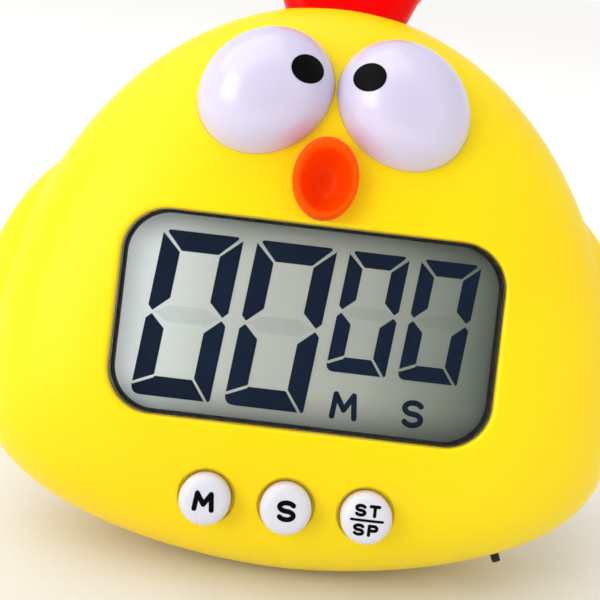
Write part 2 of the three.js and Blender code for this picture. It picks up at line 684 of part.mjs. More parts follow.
const model = new THREE.Group();
model.add(timer);
export default model;
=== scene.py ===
# %% [markdown]
# # A kitchen timer in the shape of a chick
# The real thing is two yellow ABS mouldings screwed together from behind, with white eyes, an
# orange beak and a red comb held in them, a liquid crystal screen behind a clear window, and
# three white buttons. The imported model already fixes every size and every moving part, so this
# script only gives each piece its finished surface. It starts by loading that frame.

# %% Load the frame
import json
import math

import bpy
import numpy as np
from mathutils import Matrix, Vector


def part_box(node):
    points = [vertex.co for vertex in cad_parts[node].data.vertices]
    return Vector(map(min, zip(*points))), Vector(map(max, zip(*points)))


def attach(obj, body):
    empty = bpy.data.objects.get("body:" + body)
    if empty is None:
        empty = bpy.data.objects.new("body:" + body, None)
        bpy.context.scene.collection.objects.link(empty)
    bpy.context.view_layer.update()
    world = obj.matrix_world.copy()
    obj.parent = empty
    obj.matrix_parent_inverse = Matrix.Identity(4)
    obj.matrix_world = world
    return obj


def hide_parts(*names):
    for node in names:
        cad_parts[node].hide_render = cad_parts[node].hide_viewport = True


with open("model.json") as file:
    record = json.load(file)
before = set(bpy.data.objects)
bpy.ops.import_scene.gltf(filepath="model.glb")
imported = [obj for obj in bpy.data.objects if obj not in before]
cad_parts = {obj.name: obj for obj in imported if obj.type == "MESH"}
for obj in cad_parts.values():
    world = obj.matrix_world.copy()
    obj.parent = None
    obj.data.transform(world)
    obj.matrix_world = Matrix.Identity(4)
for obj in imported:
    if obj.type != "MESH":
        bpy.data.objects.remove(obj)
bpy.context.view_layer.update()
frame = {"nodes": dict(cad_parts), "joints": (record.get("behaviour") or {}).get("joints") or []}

# %% [markdown]
# The timer leans back on its stand, which makes it awkward to draw in. Its own frame is easier:
# x to the right, y up the face and z out of the face, in millimetres, with z = 0 at the flat
# back. One matrix turns that frame into the leaned one, and the stand's hinge, whose place is
# known in both, gives the shift between them.

# %% The timer's own frame
LEAN = math.radians(20)
HINGE = np.array([0.0, 2.0, 1.75])
MM = 0.001

AXES = np.array([
    [1, 0, 0],
    [0, math.sin(LEAN), math.cos(LEAN)],
    [0, -math.cos(LEAN), math.sin(LEAN)],
])
joints = {joint["name"]: joint for joint in frame["joints"]}
SHIFT = np.array(joints["stand_hinge"]["pos_m"]) / MM - HINGE @ AXES


def to_row(points):
    """Points in the timer's frame, in millimetres, become points in the leaned frame, in metres."""
    return (np.asarray(points, float) @ AXES + SHIFT) * MM


print("middle of the back, metres:", to_row([0, 0, 0]).round(4))

# %% [markdown]
# ## The camera
# It looks straight at the face from a hand's length away and is rolled a little, so the timer
# seems to tip over to one side. Its axes are the timer's own x and y, turned by the roll. The
# standard view transform keeps the yellow as strong as it is; a film-like one would wash it out.

# %% Camera
ROLL = math.radians(6.7)
EYE_POINT = [-1.3, 0, 136]
FOCAL_SHARE = 1.5333
SENSOR = 36

right = np.array([math.cos(ROLL), math.sin(ROLL), 0]) @ AXES
above = np.array([-math.sin(ROLL), math.cos(ROLL), 0]) @ AXES
back = np.array([0, 0, 1]) @ AXES
camera_data = bpy.data.cameras.new("camera")
camera_data.sensor_width = SENSOR
camera_data.lens = FOCAL_SHARE * SENSOR
camera_data.clip_start = 0.005
camera = bpy.data.objects.new("camera", camera_data)
bpy.context.scene.collection.objects.link(camera)
turn = Matrix(np.column_stack([right, above, back]).tolist())
camera.matrix_world = Matrix.Translation(to_row(EYE_POINT)) @ turn.to_4x4()
bpy.context.scene.camera = camera
bpy.context.scene.view_settings.view_transform = "Standard"
print("camera stands at", [round(c, 3) for c in camera.location])

# %% [markdown]
# ## Colour and node helpers
# Colours are written as sRGB hex values, as a paint chip would be, and turned to the linear
# values that light adds up in. One helper adds any shader node with its settings and its links.

# %% Helpers for materials


def linear(hex_colour):
    """sRGB hex to linear RGBA: a channel under 0.04045 is divided by 12.92, the rest is a power."""
    channels = np.array([int(hex_colour[i:i + 2], 16) / 255 for i in (1, 3, 5)])
    bright = ((channels + 0.055) / 1.055) ** 2.4
    return (*np.where(channels < 0.04045, channels / 12.92, bright), 1.0)


def add_node(tree, kind, inputs=None, **settings):
    """Adds a node. Settings are its own properties; an input is a value, or a socket to link."""
    node = tree.nodes.new(kind)
    for name, value in settings.items():
        setattr(node, name, value)
    for name, value in (inputs or {}).items():
        if isinstance(value, bpy.types.NodeSocket):
            tree.links.new(value, node.inputs[name])
        else:
            node.inputs[name].default_value = value
    return node


def start_material(name):
    """A new material, its node tree, and millimetre coordinates fixed to the piece."""
    material = bpy.data.materials.new(name)
    material.use_nodes = True
    tree = material.node_tree
    tree.nodes.clear()
    place = add_node(tree, "ShaderNodeTexCoord")
    millimetres = add_node(tree, "ShaderNodeVectorMath", {0: place.outputs["Object"], "Scale": 1 / MM},
                           operation="SCALE")
    return material, tree, millimetres.outputs[0]


def end_material(tree, inputs):
    """Puts the principled shader at the end, with what it is given."""
    shader = add_node(tree, "ShaderNodeBsdfPrincipled", inputs)
    add_node(tree, "ShaderNodeOutputMaterial", {"Surface": shader.outputs[0]})


print("ABS yellow in linear light:", np.round(linear("#ffd600"), 3))

# %% [markdown]
# ## Moulded plastics
# Every coloured part is an injection moulding from a polished or lightly etched steel mould.
# What the eye sees is one even pigment that drifts by a shade over a few centimetres, a gloss
# broken by faint waves of a millimetre or two, as the plastic shrinks on cooling, and a fine
# grain left by the mould. One function builds that from real sizes. The yellow of the front and
# the orange of the beak let a little light under the skin, which warms their shaded edges, so
# those two get a small subsurface share.

# %% Moulded plastic


def moulded(name, main, drift, gloss, grain_mm=0.5, wave_mm=3.0, relief_mm=0.004, under=0.0,
            under_colour=(1, 0.3, 0.1), under_mm=1.0, shine=0.5, glint="#ffffff"):
    """Pigment drifting between two shades, waves and grain in the gloss, and light under the skin."""
    material, tree, place = start_material(name)
    drifting = add_node(tree, "ShaderNodeTexNoise", {"Vector": place, "Scale": 1 / 28, "Detail": 2.0})
    colour = add_node(tree, "ShaderNodeValToRGB", {"Fac": drifting.outputs["Fac"]})
    colour.color_ramp.elements[0].position = 0.35
    colour.color_ramp.elements[0].color = linear(drift)
    colour.color_ramp.elements[1].position = 0.6
    colour.color_ramp.elements[1].color = linear(main)
    waves = add_node(tree, "ShaderNodeTexNoise", {"Vector": place, "Scale": 1 / wave_mm, "Detail": 1.0})
    grain = add_node(tree, "ShaderNodeTexNoise", {"Vector": place, "Scale": 1 / grain_mm, "Detail": 3.0})
    rough = add_node(tree, "ShaderNodeMapRange", {
        "Value": grain.outputs["Fac"], "From Min": 0.3, "From Max": 0.7,
        "To Min": gloss * 0.85, "To Max": gloss * 1.2,
    })
    height = add_node(tree, "ShaderNodeMath", {
        0: grain.outputs["Fac"], 1: 0.12, 2: waves.outputs["Fac"],
    }, operation="MULTIPLY_ADD")
    bump = add_node(tree, "ShaderNodeBump", {
        "Height": height.outputs[0], "Strength": 1.0, "Distance": relief_mm * MM,
    })
    end_material(tree, {
        "Base Color": colour.outputs["Color"], "Roughness": rough.outputs["Result"],
        "Normal": bump.outputs["Normal"], "IOR": 1.53, "Specular IOR Level": shine,
        "Specular Tint": linear(glint),
        "Subsurface Weight": under, "Subsurface Radius": under_colour, "Subsurface Scale": under_mm * MM,
    })
    return material


# Polished ABS with an opaque lemon pigment: saturated, softly glossy.
yellow_abs = moulded("yellow ABS, polished", "#ffdf02", "#ffd800", 0.36, relief_mm=0.003, under=0.18,
                     under_colour=(1.0, 0.5, 0.02), under_mm=0.8, shine=0.32, glint="#fff8d0")
# The rear half comes from a lightly etched mould, so its gloss is wider and shows grain.
etched_abs = moulded("yellow ABS, etched", "#ffdf02", "#ffd600", 0.46, grain_mm=0.35, relief_mm=0.01,
                     shine=0.3, glint="#fff2a8")
# Red ABS of the comb, polished.
red_abs = moulded("red ABS, polished", "#f20000", "#ea0000", 0.28, relief_mm=0.003, shine=0.2,
                  glint="#ff9a90")
# The beak is an orange, slightly translucent polypropylene: light creeps round its rim.
orange_pp = moulded("orange polypropylene", "#ff5600", "#fe4c00", 0.26, under=0.2,
                    under_colour=(1.0, 0.25, 0.03), under_mm=0.8, shine=0.2, glint="#ffb080")
# Eyes of white ABS with a cool blue-violet toner, highly polished.
eye_abs = moulded("white ABS, cool", "#d2cbe4", "#cdc6e0", 0.2, wave_mm=6, relief_mm=0.002, shine=0.7)
# Button caps of the same white ABS, a touch duller from handling.
cap_abs = moulded("white ABS, buttons", "#dcdbe3", "#d6d5de", 0.3, wave_mm=4, relief_mm=0.002)
# Slide switch knob in black polyacetal, dull.
black_acetal = moulded("black polyacetal", "#1a1a1c", "#141415", 0.5)
# Unpigmented white styrene of the hidden screen holder.
white_styrene = moulded("white polystyrene", "#ecece6", "#e4e4dc", 0.45)
# Phenolic bodies of the tact switches, and their red stems.
black_phenolic = moulded("black phenolic", "#222224", "#1b1b1d", 0.5)
red_stem_nylon = moulded("red nylon", "#8f2018", "#7f1a14", 0.45)
# Soft black rubber of the seal: no gloss to speak of.
black_rubber = moulded("black EPDM rubber", "#0b0b0c", "#080808", 0.8)
# The conductive strip is rubber loaded with carbon, grey and dull.
carbon_rubber = moulded("carbon rubber", "#5a5a5e", "#48484c", 0.75, grain_mm=0.25)
# Sleeve shrunk on the capacitor, and on the cell.
blue_sleeve = moulded("blue PVC sleeve", "#2a2a58", "#24244e", 0.3)
cell_sleeve = moulded("dark blue PET sleeve", "#2f4f86", "#284678", 0.25)
# Wire insulation and the drop of epoxy over the chip.
red_pvc = moulded("red PVC insulation", "#b8151c", "#a51218", 0.4)
black_pvc = moulded("black PVC insulation", "#161617", "#101011", 0.4)
black_epoxy = moulded("black epoxy", "#121213", "#0c0c0d", 0.22, wave_mm=1.5, relief_mm=0.02)
print("plastics made:", len(bpy.data.materials))

# %% [markdown]
# ## Inks, metals, glass and the rest
# Pad-printed ink lies as a film a few hundredths of a millimetre thick, black and slightly
# glossy. Springs and screws are nickel-plated steel with fine turning marks; the sounder is a
# brass disc with a ceramic one on it. The screen's window is clear acrylic, and the liquid
# crystal cell behind it looks like grey-green paper under glass.

# %% Ink, metal, glass


def brushed_metal(name, colour, rough, line_mm):
    """Metal with fine lines: noise stretched along x, in the roughness and in a slight relief."""
    material, tree, place = start_material(name)
    stretched = add_node(tree, "ShaderNodeMapping", {"Vector": place, "Scale": (0.06, 1, 1)})
    lines = add_node(tree, "ShaderNodeTexNoise", {
        "Vector": stretched.outputs[0], "Scale": 1 / line_mm, "Detail": 4.0,
    })
    spread = add_node(tree, "ShaderNodeMapRange", {
        "Value": lines.outputs["Fac"], "From Min": 0.3, "From Max": 0.7,
        "To Min": rough * 0.7, "To Max": rough * 1.4,
    })
    bump = add_node(tree, "ShaderNodeBump", {
        "Height": lines.outputs["Fac"], "Strength": 0.5, "Distance": 0.01 * MM,
    })
    end_material(tree, {
        "Base Color": linear(colour), "Metallic": 1.0, "Roughness": spread.outputs["Result"],
        "Normal": bump.outputs["Normal"],
    })
    return material


nickel_steel = brushed_metal("nickel-plated steel", "#c9c9c6", 0.28, 0.25)
magnet_nickel = brushed_metal("nickel-plated ferrite magnet", "#8f9094", 0.34, 0.4)
rolled_brass = brushed_metal("rolled brass", "#d0a95a", 0.32, 0.3)


def speckled(name, main, speck, rough, speck_mm, share, shine=0.5):
    """An even ground with specks where a fine noise runs high, as in laminate or ceramic."""
    material, tree, place = start_material(name)
    fine = add_node(tree, "ShaderNodeTexNoise", {"Vector": place, "Scale": 1 / speck_mm, "Detail": 3.0})
    mask = add_node(tree, "ShaderNodeMapRange", {
        "Value": fine.outputs["Fac"], "From Min": 0.45, "From Max": 0.7, "To Min": 0.0, "To Max": share,
    })
    colour = add_node(tree, "ShaderNodeMix", {
        "Factor": mask.outputs["Result"], "A": linear(main), "B": linear(speck),
    }, data_type="RGBA")
    end_material(tree, {
        "Base Color": colour.outputs["Result"], "Roughness": rough, "Specular IOR Level": shine,
    })
    return material


pad_ink = speckled("black pad-printing ink", "#030304", "#0a0a0c", 0.4, 0.4, 0.6, shine=0.06)
board_laminate = speckled("green glass-epoxy laminate", "#1c6436", "#2a7c46", 0.42, 0.6, 0.8)
white_ceramic = speckled("sounder ceramic", "#e6e0d0", "#d6cfbc", 0.55, 0.5, 0.8)
reflector_foil = speckled("frosted reflector", "#c2c6be", "#b2b7ad", 0.5, 0.8, 0.7)


# The screen's grey-green tint with a painted sheen, at shares of its width from left to right: palest at
# the left, where a reflection of the lights is painted in.
SCREEN_TINT_AND_PAINTED_SHEEN = [
    (0.0, "#dce4e6"), (0.2, "#d2dad4"), (0.5, "#c4cac0"),
    (0.66, "#b6bcb2"), (0.8, "#99a196"), (1.0, "#6c766b"),
]


def screen_face():
    """A frosted grey-green cell face: a painted sheen, palest at the left and dimmer to the right, and
    painted shade near top and bottom.
    """
    material, tree, place = start_material("liquid crystal cell")
    apart = add_node(tree, "ShaderNodeSeparateXYZ", {"Vector": place})
    across = add_node(tree, "ShaderNodeMapRange", {
        "Value": apart.outputs["X"], "From Min": -24.0, "From Max": 24.0,
    })
    # Painted sheen: the colour runs from pale at the left to dark at the right, as a reflection of the
    # lights would.
    tint_and_sheen = add_node(tree, "ShaderNodeValToRGB", {"Fac": across.outputs["Result"]})
    ramp = tint_and_sheen.color_ramp
    for share, colour in SCREEN_TINT_AND_PAINTED_SHEEN[1:-1]:
        ramp.elements.new(share)
    for element, (share, colour) in zip(ramp.elements, SCREEN_TINT_AND_PAINTED_SHEEN):
        element.position = share
        element.color = linear(colour)
    low, high = (corner.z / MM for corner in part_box("lcd_front_glass"))
    middle = add_node(tree, "ShaderNodeMath", {
        0: apart.outputs["Z"], 1: -(low + high) / 2,
    }, operation="ADD")
    off_middle = add_node(tree, "ShaderNodeMath", {0: middle.outputs[0]}, operation="ABSOLUTE")
    # Painted shade: the colour turns dark green-black towards the top and bottom edges, where the
    # window's frame shades the cell.
    painted_edge_shade = add_node(tree, "ShaderNodeMapRange", {
        "Value": off_middle.outputs[0], "From Min": 7.5, "From Max": 13.0, "To Min": 0.0, "To Max": 0.5,
    }, interpolation_type="SMOOTHSTEP")
    painted_shade_and_sheen = add_node(tree, "ShaderNodeMix", {
        "Factor": painted_edge_shade.outputs["Result"], "A": tint_and_sheen.outputs["Color"], "B": linear("#20261c"),
    }, data_type="RGBA")
    fine = add_node(tree, "ShaderNodeTexNoise", {"Vector": place, "Scale": 1 / 0.5, "Detail": 2.0})
    rough = add_node(tree, "ShaderNodeMapRange", {
        "Value": fine.outputs["Fac"], "To Min": 0.36, "To Max": 0.46,
    })
    # Painted glow: the cell gives off light of its own, most at the left edge, brightening the frame's
    # shadow there.
    painted_glow = add_node(tree, "ShaderNodeMapRange", {
        "Value": apart.outputs["X"], "From Min": -24.5, "From Max": -8.0, "To Min": 0.3, "To Max": 0.06,
    }, interpolation_type="SMOOTHSTEP")
    end_material(tree, {
        "Base Color": painted_shade_and_sheen.outputs["Result"], "Metallic": 0.15, "Roughness": rough.outputs["Result"],
        "Specular IOR Level": 0.1, "Emission Color": painted_shade_and_sheen.outputs["Result"],
        "Emission Strength": painted_glow.outputs["Result"],
    })
    return material


def dyed(name, colour, drift, rough, alpha):
    """A dyed liquid crystal film: one colour, more or less see-through, with faint mottling."""
    material, tree, place = start_material(name)
    mottle = add_node(tree, "ShaderNodeTexNoise", {"Vector": place, "Scale": 1 / 6, "Detail": 2.0})
    shade = add_node(tree, "ShaderNodeMix", {
        "Factor": mottle.outputs["Fac"], "A": linear(colour), "B": linear(drift),
    }, data_type="RGBA")
    end_material(tree, {
        "Base Color": shade.outputs["Result"], "Roughness": rough, "Alpha": alpha,
        "Specular IOR Level": 0.1,
    })
    return material


def clear_acrylic():
    """Clear acrylic: nearly all light goes through, and the polished face mirrors the lights."""
    material, tree, place = start_material("clear acrylic")
    waves = add_node(tree, "ShaderNodeTexNoise", {"Vector": place, "Scale": 1 / 9, "Detail": 1.0})
    bump = add_node(tree, "ShaderNodeBump", {
        "Height": waves.outputs["Fac"], "Strength": 1.0, "Distance": 0.01 * MM,
    })
    end_material(tree, {
        "Base Color": linear("#ffffff"), "Roughness": 0.03, "IOR": 1.22, "Transmission Weight": 1.0,
        "Normal": bump.outputs["Normal"],
    })
    return material


screen_glass = screen_face()
lit_dye = dyed("dyed liquid crystal, on", "#06182e", "#0c2440", 0.4, 1.0)
faint_dye = dyed("dyed liquid crystal, off", "#8f8ca6", "#9793ac", 0.4, 0.05)
window_acrylic = clear_acrylic()
print("materials in all:", len(bpy.data.materials))

# %% [markdown]
# ## Mesh helpers
# Nearly every piece is a stack of rings: each ring is the same number of points round a closed
# outline, and neighbouring rings are joined with four-sided faces. A stack ends in a pole, or
# runs back into its first ring like a tyre. The sign of the volume tells whether the faces
# point outwards, and turns them all if they don't.

# %% Helpers for meshes


def ring_faces(count, sectors, closed):
    """Quads between ring k and ring k + 1 and point i and point i + 1, wrapping round."""
    spans = np.arange(count if closed else count - 1)
    here, across = np.meshgrid(spans, np.arange(sectors), indexing="ij")
    there = (here + 1) % count
    beside = (across + 1) % sectors
    here, there = here * sectors, there * sectors
    return np.stack([here + across, here + beside, there + beside, there + across], -1).reshape(-1, 4)


def stack(rings, closed=False, caps=True):
    """Rings of shape (count, sectors, 3) as (points, faces). Caps are fans to a pole at each end."""
    rings = np.asarray(rings, float)
    count, sectors, _ = rings.shape
    points = rings.reshape(-1, 3)
    faces = ring_faces(count, sectors, closed).tolist()
    if caps and not closed:
        index = np.arange(sectors)
        beside = (index + 1) % sectors
        poles = [rings[0].mean(0), rings[-1].mean(0)]
        first = np.full(sectors, len(points))
        faces += np.stack([first, beside, index], -1).tolist()
        last = (count - 1) * sectors
        faces += np.stack([first + 1, last + index, last + beside], -1).tolist()
        points = np.vstack([points, poles])
    return points, faces


def merged(parts):
    """Several (points, faces) as one, each part's faces counting on from the points before it."""
    points = []
    faces = []
    for part_points, part_faces in parts:
        start = sum(len(p) for p in points)
        points.append(np.asarray(part_points))
        faces += [[start + i for i in face] for face in part_faces]
    return np.vstack(points), faces


def volume_of(mesh):
    """Signed volume: a sixth of the sum, over the triangles, of a . (b x c)."""
    mesh.calc_loop_triangles()
    corners = np.zeros(len(mesh.loop_triangles) * 3, int)
    mesh.loop_triangles.foreach_get("vertices", corners)
    places = np.zeros(len(mesh.vertices) * 3)
    mesh.vertices.foreach_get("co", places)
    a, b, c = places.reshape(-1, 3)[corners].reshape(-1, 3, 3).transpose(1, 0, 2)
    return (a * np.cross(b, c)).sum() / 6


def make_object(name, shape, in_row=False):
    """A mesh object from (points, faces), turned outwards. in_row: the points are leaned metres."""
    points, faces = shape
    mesh = bpy.data.meshes.new(name)
    mesh.from_pydata((points if in_row else to_row(points)).tolist(), [], [list(face) for face in faces])
    if volume_of(mesh) < 0:
        mesh.flip_normals()
    mesh.update()
    made = bpy.data.objects.new(name, mesh)
    bpy.context.scene.collection.objects.link(made)
    return made


def settle(made):
    """Applies an object's modifiers by taking its evaluated mesh."""
    evaluated = made.evaluated_get(bpy.context.evaluated_depsgraph_get())
    fixed = bpy.data.meshes.new_from_object(evaluated)
    made.modifiers.clear()
    made.data = fixed


def combine(made, others, how="DIFFERENCE"):
    """Cuts the others out of an object, or joins them to it, and removes them."""
    for other in others:
        modifier = made.modifiers.new(how, "BOOLEAN")
        modifier.operation = how
        modifier.solver = "MANIFOLD"
        modifier.object = other
    settle(made)
    for other in others:
        bpy.data.objects.remove(other)
    return made


def finish_piece(made, material, body, replaces=(), sharp=35):
    """Gives a piece its material, its shading and the body it rides on, and hides the imported parts it
    replaces.
    """
    made.data.materials.clear()
    made.data.materials.append(material)
    made.data.shade_smooth()
    made.data.set_sharp_from_angle(angle=math.radians(sharp))
    weighted = made.modifiers.new("even shading", "WEIGHTED_NORMAL")
    weighted.keep_sharp = True
    settle(made)
    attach(made, body)
    if replaces:
        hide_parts(*replaces)
    made.data.calc_loop_triangles()
    print(f"{made.name}: {len(made.data.loop_triangles)} triangles")
    return made


# %% [markdown]
# ## Outlines
# An outline is told by whether a point lies inside it. The distance from a hub to the edge along
# any ray then comes from halving an interval, for all the rays at once. The body is half an
# ellipse over a flatter, squarer lower half; the wings are circles; the window is a rectangle
# with round corners, which may be grown evenly by any amount.

# %% Outlines
TURN = 2 * math.pi
HUB = (0.0, -6.0)
BODY = {"half": 42.7, "top": 54.7, "low": 21.9, "waist": -14.55, "across": 1.8, "down": 2.5}
WINDOW = {"centre": (0.0, -3.4), "size": (48.9, 26.1), "corner": 5.9}
DOOR = {"centre": (0.0, 16.0), "size": (53.2, 13.2), "corner": 3.5}


def angles(sectors):
    """Evenly spaced directions round a full turn."""
    return np.arange(sectors) * TURN / sectors


def inside_body(x, y):
    """An ellipse above the waist, and |x/half|^across + |y/low|^down = 1 below it."""
    rise = y - BODY["waist"]
    upper = (x / BODY["half"]) ** 2 + (rise / BODY["top"]) ** 2
    lower = np.abs(x / BODY["half"]) ** BODY["across"] + np.abs(rise / BODY["low"]) ** BODY["down"]
    return np.where(rise > 0, upper, lower) < 1


def inside_plate(box, grow=0.0):
    """A test for a round-cornered rectangle, grown by an even margin."""
    def test(x, y):
        corner = max(box["corner"] + grow, 0.05)
        far_x = np.abs(x - box["centre"][0]) - (box["size"][0] / 2 + grow - corner)
        far_y = np.abs(y - box["centre"][1]) - (box["size"][1] / 2 + grow - corner)
        outside = np.hypot(np.maximum(far_x, 0), np.maximum(far_y, 0))
        return outside + np.minimum(np.maximum(far_x, far_y), 0) < corner
    return test


def reach(inside, hub, angle, far=80.0):
    """Distance from the hub to the edge along each direction, by halving an interval forty times."""
    near = np.zeros_like(angle)
    far = np.full_like(angle, far)
    for _ in range(40):
        middle = (near + far) / 2
        within = inside(hub[0] + middle * np.cos(angle), hub[1] + middle * np.sin(angle))
        near = np.where(within, middle, near)
        far = np.where(within, far, middle)
    return near


fine_angles = angles(3600)
body_table = reach(inside_body, HUB, fine_angles)


def body_reach(angle):
    """The body's outline about its hub, read from a table of a tenth of a degree."""
    return np.interp(angle % TURN, fine_angles, body_table, period=TURN)


def oval_reach(long, short, tilt):
    """Distance to an ellipse's edge from its centre, for an ellipse turned by tilt degrees."""
    def distance(angle):
        turned = angle - math.radians(tilt)
        return 1 / np.hypot(np.cos(turned) / long, np.sin(turned) / short)
    return distance


def ring(hub, distance, angle, z):
    """Points at a distance from a hub in each direction, at height z."""
    x = hub[0] + distance * np.cos(angle)
    y = hub[1] + distance * np.sin(angle)
    return np.stack([x, y, np.broadcast_to(z, x.shape)], -1)


print("body width and height, mm:", 2 * BODY["half"], BODY["top"] + BODY["low"])

# %% [markdown]
# ## The face as a height
# The front is a pillow: its height over the parting line falls as the root of one minus a high
# power of how far out the point is. Each wing is a lower pillow on a circle. Adding the heights
# as high powers, and taking the root of the sum, joins them with a soft crease and no seam.

# %% Face and back as heights
PARTING = 9.5
WINGS = [(16.9, -5.0), (-16.9, -5.0)]
WING_RADIUS = 27.9
FACE_RISE, FACE_POWER = 11.7, 4.6
WING_RISE, WING_POWER = 6.5, 4
WALL = 2.0
BLEND = 12


def blended(heights):
    """The greatest of several heights, rounded where two are nearly equal."""
    return sum(np.maximum(h, 0) ** BLEND for h in heights) ** (1 / BLEND)


def pillow(x, y, hub, edge, rise, power):
    """rise * sqrt(1 - s^power), where s is the point's distance from the hub over the edge's."""
    share = np.hypot(x - hub[0], y - hub[1]) / edge
    return rise * np.sqrt(np.clip(1 - share ** power, 0, 1))


def face_height(x, y):
    """Height of the outer face over the flat back."""
    angle = np.arctan2(y - HUB[1], x - HUB[0])
    parts = [pillow(x, y, HUB, body_reach(angle), FACE_RISE, FACE_POWER)]
    parts += [pillow(x, y, hub, WING_RADIUS, WING_RISE, WING_POWER) for hub in WINGS]
    return PARTING + blended(parts)


def inner_height(x, y):
    """Height of the inner wall of the front half."""
    angle = np.arctan2(y - HUB[1], x - HUB[0])
    return PARTING + pillow(x, y, HUB, body_reach(angle) - WALL, FACE_RISE - WALL, FACE_POWER)


def rounding(x, y, hub, edge, depth, radius=6.0):
    """Depth of the back: a quarter ellipse over the last few millimetres, then flat."""
    inward = np.clip((edge - np.hypot(x - hub[0], y - hub[1])) / radius, 0, 1)
    return depth * np.sqrt(1 - (1 - inward) ** 2)


def back_height(x, y, wall=0.0, with_wings=True):
    """Height of the rear face, or of the inside of its wall."""
    angle = np.arctan2(y - HUB[1], x - HUB[0])
    parts = [rounding(x, y, HUB, body_reach(angle) - wall, PARTING - wall)]
    if with_wings:
        parts += [rounding(x, y, hub, WING_RADIUS, WING_RISE) for hub in WINGS]
    return PARTING - blended(parts)


def outer_edge(angle):
    """The casing's outline about the hub: the body's, or the wings' where they stand further out."""
    def inside(x, y):
        within = inside_body(x, y)
        for hub in WINGS:
            within = within | (np.hypot(x - hub[0], y - hub[1]) < WING_RADIUS)
        return within
    return reach(inside, HUB, angle)


print("height of the face at the hub, mm:", face_height(*np.array(HUB)[:, None]).round(2))

# %% [markdown]
# ## The front half of the case
# The window is the hole in a ring-shaped moulding, so the whole shell is one closed loop of
# rings: up the window's wall, over a small rounded lip, out across the face to the parting
# line, in under the rim, and back along the inner wall. Rays from the hub carry it, and the
# rings crowd together at the edge, where the pillow turns steeply down.

# %% Front shell
SECTORS = 560
LIP = 0.55
SEAM = 0.07
WINDOW_FOOT = 17.3
rays = angles(SECTORS)


def window_reach(grow):
    """The window's outline about the hub, grown by a margin."""
    return reach(inside_plate(WINDOW, grow), HUB, rays)


def face_ring(distance, drop=0.0):
    """A ring on the outer face, let down by a drop, and never under the parting line."""
    flat = ring(HUB, distance, rays, 0.0)
    z = np.maximum(face_height(flat[:, 0], flat[:, 1]) - drop, PARTING + SEAM)
    return np.column_stack([flat[:, :2], z])


def lip_drop(offset, radius):
    """How far a rounded lip lies under the face: r - sqrt(r^2 - (r - offset)^2)."""
    return radius - math.sqrt(max(radius ** 2 - (radius - offset) ** 2, 0))


edge = outer_edge(rays)
loop = [ring(HUB, window_reach(0), rays, WINDOW_FOOT), face_ring(window_reach(0), LIP)]
for step in np.linspace(0, math.pi / 2, 9)[1:]:
    offset = LIP * (1 - math.cos(step))
    loop.append(face_ring(window_reach(offset), lip_drop(offset, LIP)))
lip_end = window_reach(LIP)
for share in np.sin(np.linspace(0, math.pi / 2, 72)[1:]):
    loop.append(face_ring(lip_end + (edge - lip_end) * share))
inner_rim = body_reach(rays) - WALL
ledge = window_reach(1.4)
for share in np.sin(np.linspace(math.pi / 2, 0, 16)):
    flat = ring(HUB, ledge + (inner_rim - ledge) * share, rays, 0.0)
    z = np.maximum(inner_height(flat[:, 0], flat[:, 1]), PARTING + SEAM)
    loop.append(np.column_stack([flat[:, :2], z]))
loop.append(ring(HUB, ledge, rays, WINDOW_FOOT))
front_case = make_object("front_case", stack(loop, closed=True))
print("front shell rings:", len(loop))

# %% [markdown]
# ## Cutters with a rounded mouth
# A moulded hole never has a knife edge. Each cutter is the hole's outline carried up to just
# under the face, opened out along a quarter circle that follows the face, and then carried on
# upwards, so that cutting with it leaves the hole and its little rounded lip in one step. The
# quarter circle stops a few degrees early, so the cut crosses the face cleanly.

# %% Cutters
STOP = math.radians(72)


def mouth_cutter(name, hub, distance, low, radius, height=face_height, side=1, sectors=96):
    """Rings up a hole's wall, out along a quarter circle under the surface, then clear of it."""
    angle = angles(sectors)
    rings = []

    def on_surface(offset, sink):
        flat = ring(hub, distance(angle) + offset, angle, 0.0)
        return np.column_stack([flat[:, :2], height(flat[:, 0], flat[:, 1]) - side * sink])

    rings.append(ring(hub, distance(angle), angle, low))
    lift = radius * (1 - math.sin(STOP))
    for step in np.linspace(0, STOP, 7):
        rings.append(on_surface(radius * (1 - math.cos(step)), radius * (1 - math.sin(step)) - lift))
    rings.append(on_surface(radius * (1 - math.cos(STOP)) + 0.05, -0.03 - lift))
    rings.append(on_surface(radius * (1 - math.cos(STOP)) + 0.2, -6))
    return make_object(name, stack(rings))


def round_reach(radius):
    """The reach of a circle: its radius in every direction."""
    return lambda angle: np.full_like(angle, radius)


def disc_shape(x, y, radius, low, high, sectors=48):
    """A plain round cutter or filler."""
    angle = angles(sectors)
    rings = [ring((x, y), np.full_like(angle, radius), angle, z) for z in (low, high)]
    return stack(rings)


def box_shape(x0, x1, y0, y1, z0, z1):
    """A plain box, for cutting and filling inside."""
    corners = [(x1, y1), (x0, y1), (x0, y0), (x1, y0)]
    return stack([[(x, y, z) for x, y in corners] for z in (z0, z1)])


print("a mouth opens to, degrees:", round(math.degrees(STOP)))

# %% [markdown]
# ## Eyes
# Each eye is a thin white dome on an oval, pushed through the front from behind. The dome is
# fuller than an ellipsoid: it leaves the face steeply and flattens on top, as a formula with
# powers under one gives. The two ovals lean together and all but touch over the beak. The pupil
# is a pad-printed oval, so it is a film that follows the dome.

# %% Eyes
EYE_LONG = 9.2
EYE_SHORT = 8.03
EYE_BASE = 18.0
EYE_RISE = 7.5
EYES = {"left": (-8.62, 25.65, 40), "right": (8.88, 25.7, -40)}
EYE_WALL = 1.2
EYE_FOOT = 15.9
DOME = (0.82, 0.9)


def dome_height(share):
    """Height at a share of the way out: share = cos(a)^p, height = sin(a)^q."""
    angle = np.arccos(np.clip(share, 0, 1) ** (1 / DOME[0]))
    return EYE_BASE + EYE_RISE * np.sin(angle) ** DOME[1]


